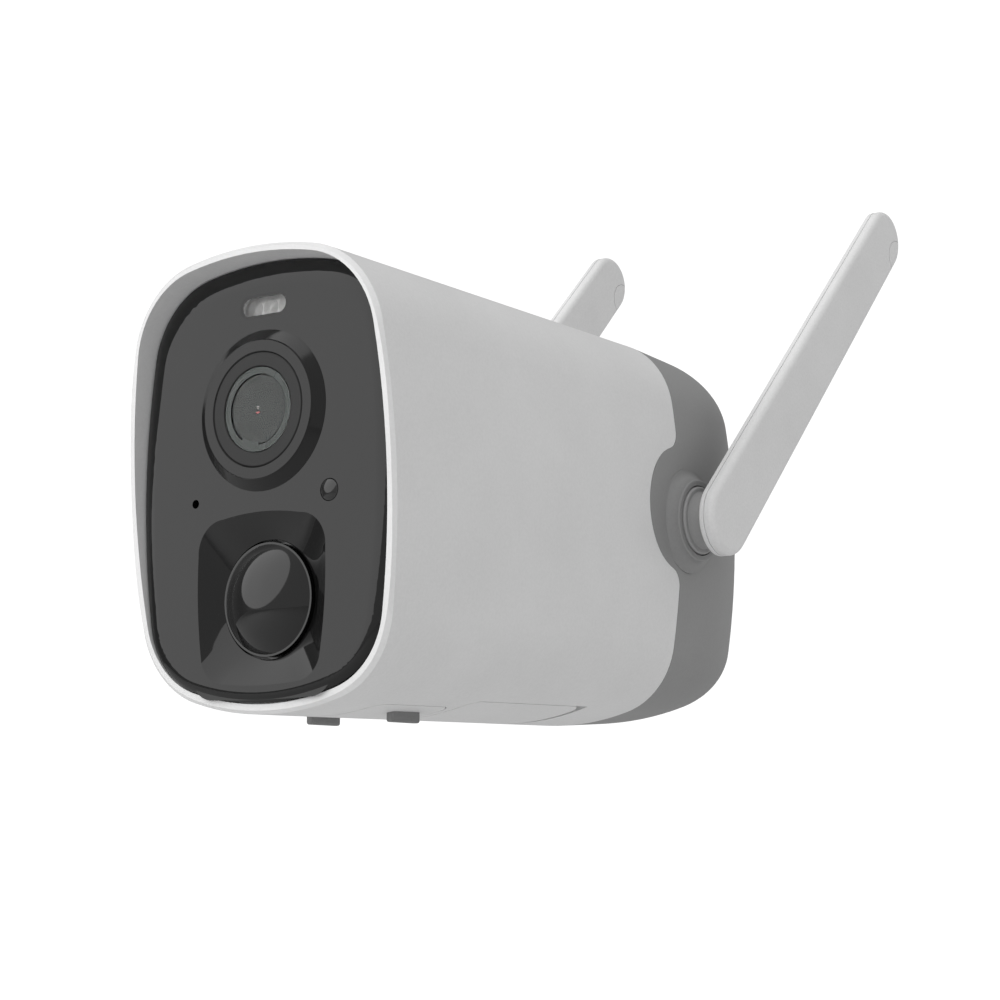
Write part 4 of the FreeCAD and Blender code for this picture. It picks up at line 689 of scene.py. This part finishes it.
@dataclass
class Housing(SubAssembly):
    """The shell, its rear cap, the underside plates and the feet."""

    thread_turns: float = 6.4
    thread_radius: float = 2.62
    thread_pitch: float = 1.27
    thread_ridge: float = 0.42
    thread_lead_in: float = 0.3

    def dress(self, nodes: dict[str, bpy.types.Object], wardrobe: Wardrobe) -> None:
        """Gives the housing's nodes their finishes.

        Args:
            nodes: the CAD nodes by name.
            wardrobe: the store of materials.
        """
        for name in ("front_shell", "port_cover", "service_hatch"):
            wardrobe.dress(nodes[name], SHELL_WHITE)
        wardrobe.dress(nodes["rear_cap"], CAP_GREY)
        wardrobe.dress(nodes["feet"], RUBBER_GREY)
        for name in ("rear_gasket", "face_gasket", "cover_seal"):
            wardrobe.dress(nodes[name], RUBBER_BLACK)
        for name in ("rear_screws", "hinge_pin", "front_screws"):
            wardrobe.dress(nodes[name], STEEL)
        for name in ("mount_insert", "hub_bushes"):
            wardrobe.dress(nodes[name], BRASS)
        wardrobe.dress(nodes["speaker"], INNER_BLACK)

    def build(self, wardrobe: Wardrobe) -> None:
        """Adds the bracket thread's ridges.

        Args:
            wardrobe: the store of materials.
        """
        helix = HelixTree("Bracket thread", wardrobe.material(BRASS))
        length = self.thread_turns * self.thread_pitch * MM
        grow("bracket_thread", helix.tree,
             {"Turns": self.thread_turns, "Radius": self.thread_radius * MM, "Length": length,
              "Ridge": self.thread_ridge * MM,
              "Start": Vector((0.0, -length - self.thread_lead_in * MM, 0.0))}, CAMERA_BODY)


@dataclass
class FrontFace(SubAssembly):
    """The glossy panel with the lamp window, daylight sensor and motion dome."""

    lamp_up: float = 21.2
    lamp_spacing: float = 4.0
    lamp_back: float = 3.45
    lens_rings: tuple[float, ...] = (0.55, 0.95, 1.35, 1.75)
    lens_segments: int = 40
    rib_height: float = 0.2
    rib_half_width: float = 0.14
    tray_half_length: float = 6.8
    tray_half_height: float = 3.0
    tray_thickness: float = 0.3
    border_half_length: float = 6.13
    border_half_height: float = 2.28
    border_width: float = 0.48
    border_front: float = 0.03
    border_back: float = 0.09

    def dress(self, nodes: dict[str, bpy.types.Object], wardrobe: Wardrobe) -> None:
        """Gives the front's nodes their finishes.

        Args:
            nodes: the CAD nodes by name.
            wardrobe: the store of materials.
        """
        wardrobe.dress(nodes["face_panel"], FACE_BLACK)
        wardrobe.dress(nodes["led_window"], LAMP_CLEAR)
        wardrobe.dress(nodes["light_sensor_window"], EYE_DARK)
        wardrobe.dress(nodes["pir_dome"], DOME_DARK)
        wardrobe.dress(nodes["pir_retainer"], INNER_BLACK)
        wardrobe.dress(nodes["pir_sensor"], STEEL)
        wardrobe.dress(nodes["front_board"], BOARD_GREEN)
        wardrobe.dress(nodes["leds"], PHOSPHOR)
        wardrobe.dress(nodes["front_sensors"], STEEL)

    def build(self, wardrobe: Wardrobe) -> None:
        """Adds the ribbed reflector tray behind the lamp window and the window's black border.

        Args:
            wardrobe: the store of materials.
        """
        rings = bmesh.new()
        for x in (-self.lamp_spacing, 0.0, self.lamp_spacing):
            for radius in self.lens_rings:
                half = self.rib_half_width
                ring = lathe([(radius - half, self.lamp_back), (radius, self.lamp_back - self.rib_height),
                              (radius + half, self.lamp_back)], at(x, 0.0, self.lamp_up), self.lens_segments)
                mesh = bpy.data.meshes.new("ring")
                ring.to_mesh(mesh)
                ring.free()
                rings.from_mesh(mesh)
                bpy.data.meshes.remove(mesh)
        wardrobe.dress(add_object("lamp_lens_rings", rings, CAMERA_BODY), LAMP_REFLECTOR)
        middle = at(0.0, 0.0, self.lamp_up)
        tray = bmesh.new()
        bridge(tray, [stadium(self.tray_half_length, self.tray_half_height, depth, middle)
                      for depth in (self.lamp_back, self.lamp_back + self.tray_thickness)], False)
        wardrobe.dress(add_object("lamp_reflector_tray", tray, CAMERA_BODY), LAMP_REFLECTOR)
        border = bmesh.new()
        w = self.border_width
        length, height = self.border_half_length, self.border_half_height
        bridge(border, [stadium(length - inset, height - inset, depth, middle)
                        for inset, depth in ((0.0, self.border_front), (0.0, self.border_back),
                                             (w, self.border_back), (w, self.border_front))], True)
        wardrobe.dress(add_object("lamp_window_border", border, CAMERA_BODY), FACE_BLACK)


@dataclass(frozen=True)
class Glint:
    """A small bright arc on the lens window, centred on the lens axis: a painted glint whose colour stands in
    for the lamp's reflection in the lens's inner elements.
    """

    name: str
    inner: float
    outer: float
    way: float
    glint_paint: Finish


@dataclass
class LensStack(SubAssembly):
    """The lens behind its cover glass: bezel, barrel, retaining ring and elements."""

    glass_radius: float = 8.5
    glass_front: float = -1.58
    glass_back: float = -1.46
    glass_ease: float = 0.1
    seat_front: float = -1.43
    seat_back: float = -1.36
    seat_radius: float = 7.15
    window_radius: float = 6.86
    window_shift: float = 0.2
    window_front: float = -1.37
    window_back: float = -1.1
    lug_start: float = -125.0
    lug_end: float = -88.0
    lug_inward: float = 0.4
    lug_outward: float = 0.1
    lug_front: float = -1.42
    lug_back: float = -1.39
    glint_height: float = 0.02
    # Painted reflections: pale and red arcs placed where the lamp would show in the inner lens elements.
    glints: tuple[Glint, ...] = (
        Glint("painted_glint_pale_upper", 0.50, 0.62, 90.0, PALE_GLINT_PAINT),
        Glint("painted_glint_pale", 0.06, 0.24, 90.0, PALE_GLINT_PAINT),
        Glint("painted_glint_red", 0.56, 0.80, -90.0, RED_GLINT_PAINT))
    glint_half_span: float = 34.0

    def dress(self, nodes: dict[str, bpy.types.Object], wardrobe: Wardrobe) -> None:
        """Gives the lens nodes their finishes.

        Args:
            nodes: the CAD nodes by name.
            wardrobe: the store of materials.
        """
        wardrobe.dress(nodes["lens_bezel"], LENS_BLACK)
        wardrobe.dress(nodes["lens_trim_ring"], TRIM_BLACK)
        wardrobe.dress(nodes["lens_cover_glass"], COVER_GLASS)
        wardrobe.dress(nodes["lens_barrel"], BARREL_BLACK)
        wardrobe.dress(nodes["lens_front_element"], LENS_GLASS)
        wardrobe.dress(nodes["lens_holder"], INNER_BLACK)
        wardrobe.dress(nodes["ir_shuttle"], INNER_BLACK)
        wardrobe.dress(nodes["ir_filter_pane"], FILTER_GLASS)
        wardrobe.dress(nodes["image_sensor"], SENSOR_GLASS)
        wardrobe.dress(nodes["sensor_board"], BOARD_GREEN)

    def build(self, wardrobe: Wardrobe) -> None:
        """Adds the cover glass and its seat, the flat window behind it and the painted glints on that.

        Args:
            wardrobe: the store of materials.
        """
        middle = at(0.0, 0.0, 0.0)
        rim, ease = self.glass_radius, self.glass_ease
        front, back = self.glass_front, self.glass_back
        glass = lathe([(0.0, front), (rim - ease, front), (rim, front + ease), (rim, back), (0.0, back)],
                      middle)
        cover = add_object("cover_glass", glass, CAMERA_BODY)
        wardrobe.dress(cover, COVER_GLASS)
        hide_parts("lens_cover_glass")
        seat = lathe([(self.seat_radius, self.seat_front), (rim, self.seat_front),
                      (rim, self.seat_back), (self.seat_radius, self.seat_back)], middle)
        wardrobe.dress(add_object("glass_seat", seat, CAMERA_BODY), GLASS_SEAT)
        lug = sector(self.window_radius - self.lug_inward, self.seat_radius + self.lug_outward,
                     self.lug_start, self.lug_end, self.lug_front, self.lug_back)
        wardrobe.dress(add_object("glass_seat_lug", lug, CAMERA_BODY), GLASS_SEAT)
        pane = lathe([(0.0, self.window_front), (self.window_radius, self.window_front),
                      (self.window_radius, self.window_back), (0.0, self.window_back)],
                     at(self.window_shift, 0.0, 0.0))
        wardrobe.dress(add_object("lens_window", pane, CAMERA_BODY), LENS_WINDOW)
        span = self.glint_half_span
        # Each glint is a thin arc with a bright coloured finish, a painted highlight on the lens window.
        for glint in self.glints:
            spot = sector(glint.inner, glint.outer, glint.way - span, glint.way + span,
                          self.window_front - self.glint_height, self.window_front)
            wardrobe.dress(add_object(glint.name, spot, CAMERA_BODY), glint.glint_paint)


@dataclass
class AntennaPair(SubAssembly):
    """The two folding antennas."""

    sides: tuple[str, str] = ("right", "left")

    def dress(self, nodes: dict[str, bpy.types.Object], wardrobe: Wardrobe) -> None:
        """Gives the antennas' nodes their finishes.

        Args:
            nodes: the CAD nodes by name.
            wardrobe: the store of materials.
        """
        for side in self.sides:
            # The hubs get the darker grey, which is painted shade from the arm's shadow.
            for piece, finish in (("thin_half", ANTENNA_GREY), ("thick_half", ANTENNA_GREY),
                                  ("hub", HUB_PAINTED_SHADE), ("element", COPPER), ("nut", BRASS)):
                wardrobe.dress(nodes[f"antenna_{side}_{piece}"], finish)


@dataclass
class Electronics(SubAssembly):
    """The boards, cells, radio leads and what the ports hold."""

    board_parts_centre: tuple[float, float, float] = (0.0, 66.5, -10.05)
    board_parts_area: tuple[float, float] = (38.0, 54.0)
    board_parts_count: tuple[int, int] = (14, 22)
    board_part: tuple[float, float, float] = (1.0, 0.5, 0.5)
    board_gaps: float = 0.45
    pads_centre: tuple[float, float, float] = (-0.4, 70.49, -40.4)
    pads_count: int = 8
    pads_width: float = 8.4
    pad: tuple[float, float, float] = (0.8, 2.6, 0.04)

    def dress(self, nodes: dict[str, bpy.types.Object], wardrobe: Wardrobe) -> None:
        """Gives the inner nodes their finishes.

        Args:
            nodes: the CAD nodes by name.
            wardrobe: the store of materials.
        """
        finishes = {
            INNER_BLACK: ("inner_frame", "cell_cradle"),
            INNER_WHITE: ("port_bay",),
            BOARD_GREEN: ("main_board", "port_board"),
            STEEL: ("cell_contacts", "shield_cans", "usb_connector", "card_socket"),
            CHIP_BLACK: ("board_chips", "memory_card", "switches"),
            RUBBER_GREY: ("power_button", "reset_button"),
            CELL_WRAP: ("battery_cell_right", "battery_cell_left"),
            RUBBER_BLACK: ("coax_leads",),
        }
        for finish, names in finishes.items():
            for name in names:
                wardrobe.dress(nodes[name], finish)

    def build(self, wardrobe: Wardrobe) -> None:
        """Adds the rows of small parts on the main board and the gold pads on the memory card.

        Args:
            wardrobe: the store of materials.
        """
        rows = RowTree("Board parts", wardrobe.material(CHIP_BLACK))
        across, along = self.board_parts_count
        width, length = self.board_parts_area
        grow("main_board_parts", rows.tree,
             {"Across": across, "Along": along, "Width": width * MM, "Length": length * MM,
              "Block": Vector(self.board_part) * MM, "Centre": at(*self.board_parts_centre),
              "Turn": Vector((0.0, 0.0, 0.0)), "Drop Out": self.board_gaps, "Seed": 7},
             CAMERA_BODY)
        pads = RowTree("Gold pads", wardrobe.material(GOLD))
        grow("memory_card_pads", pads.tree,
             {"Across": self.pads_count, "Along": 1, "Width": self.pads_width * MM, "Length": 0.0,
              "Block": Vector(self.pad) * MM, "Centre": at(*self.pads_centre),
              "Turn": Vector((math.radians(90.0), 0.0, 0.0)), "Drop Out": 0.0, "Seed": 1}, "card")


# ---------------------------------------------------------------- studio
@dataclass
class SoftBox:
    """One soft round lamp aimed at the object."""

    name: str
    azimuth: float
    elevation: float
    distance: float
    width: float
    radiance: float

    def build(self, aim: Vector) -> None:
        """Adds the lamp.

        Args:
            aim: the point that it faces.
        """
        az, el = math.radians(self.azimuth), math.radians(self.elevation)
        way = Vector((math.sin(az) * math.cos(el), -math.cos(az) * math.cos(el), math.sin(el)))
        lamp = bpy.data.lights.new(self.name, "AREA")
        lamp.shape = "DISK"
        lamp.size = self.width
        lamp.energy = self.radiance * math.pi * math.pi * self.width ** 2 / 4.0
        obj = bpy.data.objects.new(self.name, lamp)
        bpy.context.collection.objects.link(obj)
        obj.location = aim + way * self.distance
        obj.rotation_euler = (math.pi / 2.0 - el, 0.0, az)
        obj.visible_camera = False


@dataclass
class Studio:
    """The pale floor, the light and the camera."""

    camera_place: tuple[float, float, float] = (0.2988, -0.4819, -0.0671)
    camera_azimuth: float = 35.43
    camera_elevation: float = -8.0
    focal_length: float = 82.94
    floor_drop: float = 0.30
    floor_half: float = 1.6
    sky: float = 0.66
    shade: float = 0.2
    shade_side: tuple[float, float, float] = (-0.94, 0.34, 0.0)
    shade_begins: float = 0.2
    shade_full: float = 0.8
    backdrop: float = 1.1
    aim: tuple[float, float, float] = (0.0, -0.08, 0.0)

    def build(self, wardrobe: Wardrobe) -> None:
        """Adds everything that isn't the object.

        Args:
            wardrobe: the store of materials.
        """
        self._floor(wardrobe)
        self._sky()
        aim = Vector(self.aim)
        SoftBox("front_left_disk", azimuth=-31.0, elevation=28.0, distance=1.1, width=1.6,
                radiance=1.45).build(aim)
        self._camera()

    def _floor(self, wardrobe: Wardrobe) -> None:
        """Adds a wide pale floor well below the object.

        Args:
            wardrobe: the store of materials.
        """
        bm = bmesh.new()
        bmesh.ops.create_grid(bm, x_segments=4, y_segments=4, size=self.floor_half)
        bmesh.ops.translate(bm, verts=bm.verts, vec=Vector((0.0, 0.0, -self.floor_drop)))
        mesh = bpy.data.meshes.new("floor")
        bm.to_mesh(mesh)
        bm.free()
        floor = bpy.data.objects.new("floor", mesh)
        bpy.context.collection.objects.link(floor)
        wardrobe.dress(floor, FLOOR_PALE)

    def _sky(self) -> None:
        """Adds soft light from all round, weaker at one side, and shows colours without a film curve."""
        bpy.context.scene.view_settings.view_transform = "Standard"
        world = bpy.data.worlds.new("studio")
        world.use_nodes = True
        g = Graph(world.node_tree)
        g.tree.nodes.clear()
        path = g.add("ShaderNodeLightPath")
        light = g.add("ShaderNodeBackground")
        around = g.add("ShaderNodeTexCoord")
        aside = g.add("ShaderNodeVectorMath", operation="DOT_PRODUCT")
        aside.inputs[1].default_value = self.shade_side
        g.join(around.outputs["Generated"], aside.inputs[0])
        fade = g.add("ShaderNodeMapRange", interpolation_type="SMOOTHSTEP")
        fade.inputs["From Min"].default_value = self.shade_begins
        fade.inputs["From Max"].default_value = self.shade_full
        fade.inputs["To Min"].default_value = self.sky
        fade.inputs["To Max"].default_value = self.shade
        g.join(aside.outputs["Value"], fade.inputs["Value"])
        g.join(fade.outputs["Result"], light.inputs["Strength"])
        white = g.add("ShaderNodeBackground")
        white.inputs["Color"].default_value = (1.0, 1.0, 1.0, 1.0)
        white.inputs["Strength"].default_value = self.backdrop
        light.inputs["Color"].default_value = (1.0, 1.0, 1.0, 1.0)
        mix = g.add("ShaderNodeMixShader")
        end = g.add("ShaderNodeOutputWorld")
        g.join(path.outputs["Is Camera Ray"], mix.inputs["Fac"])
        g.join(light.outputs["Background"], mix.inputs[1])
        g.join(white.outputs["Background"], mix.inputs[2])
        g.join(mix.outputs["Shader"], end.inputs["Surface"])
        bpy.context.scene.world = world

    def _camera(self) -> None:
        """Adds the camera, low and to the front right."""
        camera = bpy.data.cameras.new("view")
        camera.lens = self.focal_length
        camera.sensor_width = 36.0
        camera.clip_start = 0.01
        obj = bpy.data.objects.new("view", camera)
        bpy.context.collection.objects.link(obj)
        obj.location = self.camera_place
        tilt = math.radians(90.0 - self.camera_elevation)
        obj.rotation_euler = (tilt, 0.0, math.radians(self.camera_azimuth))
        bpy.context.scene.camera = obj


def clear_scene() -> None:
    """Removes whatever the new file starts with."""
    for obj in list(bpy.data.objects):
        bpy.data.objects.remove(obj)


def corners(box: tuple) -> list[list[float]]:
    """Returns a box's two corners as plain lists."""
    return [[float(v) for v in corner] for corner in box]


def main() -> None:
    """Loads the model, dresses it, adds the fine parts and sets up the studio."""
    logging.basicConfig(level=logging.INFO, format="%(name)s: %(message)s")
    clear_scene()
    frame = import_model()
    nodes = frame["nodes"]
    wardrobe = Wardrobe()
    for part in (Housing(), FrontFace(), LensStack(), AntennaPair(), Electronics()):
        part.dress(nodes, wardrobe)
        LOG.info("dressed %s", type(part).__name__)
        part.build(wardrobe)
    Studio().build(wardrobe)


if __name__ == "__main__":
    main()
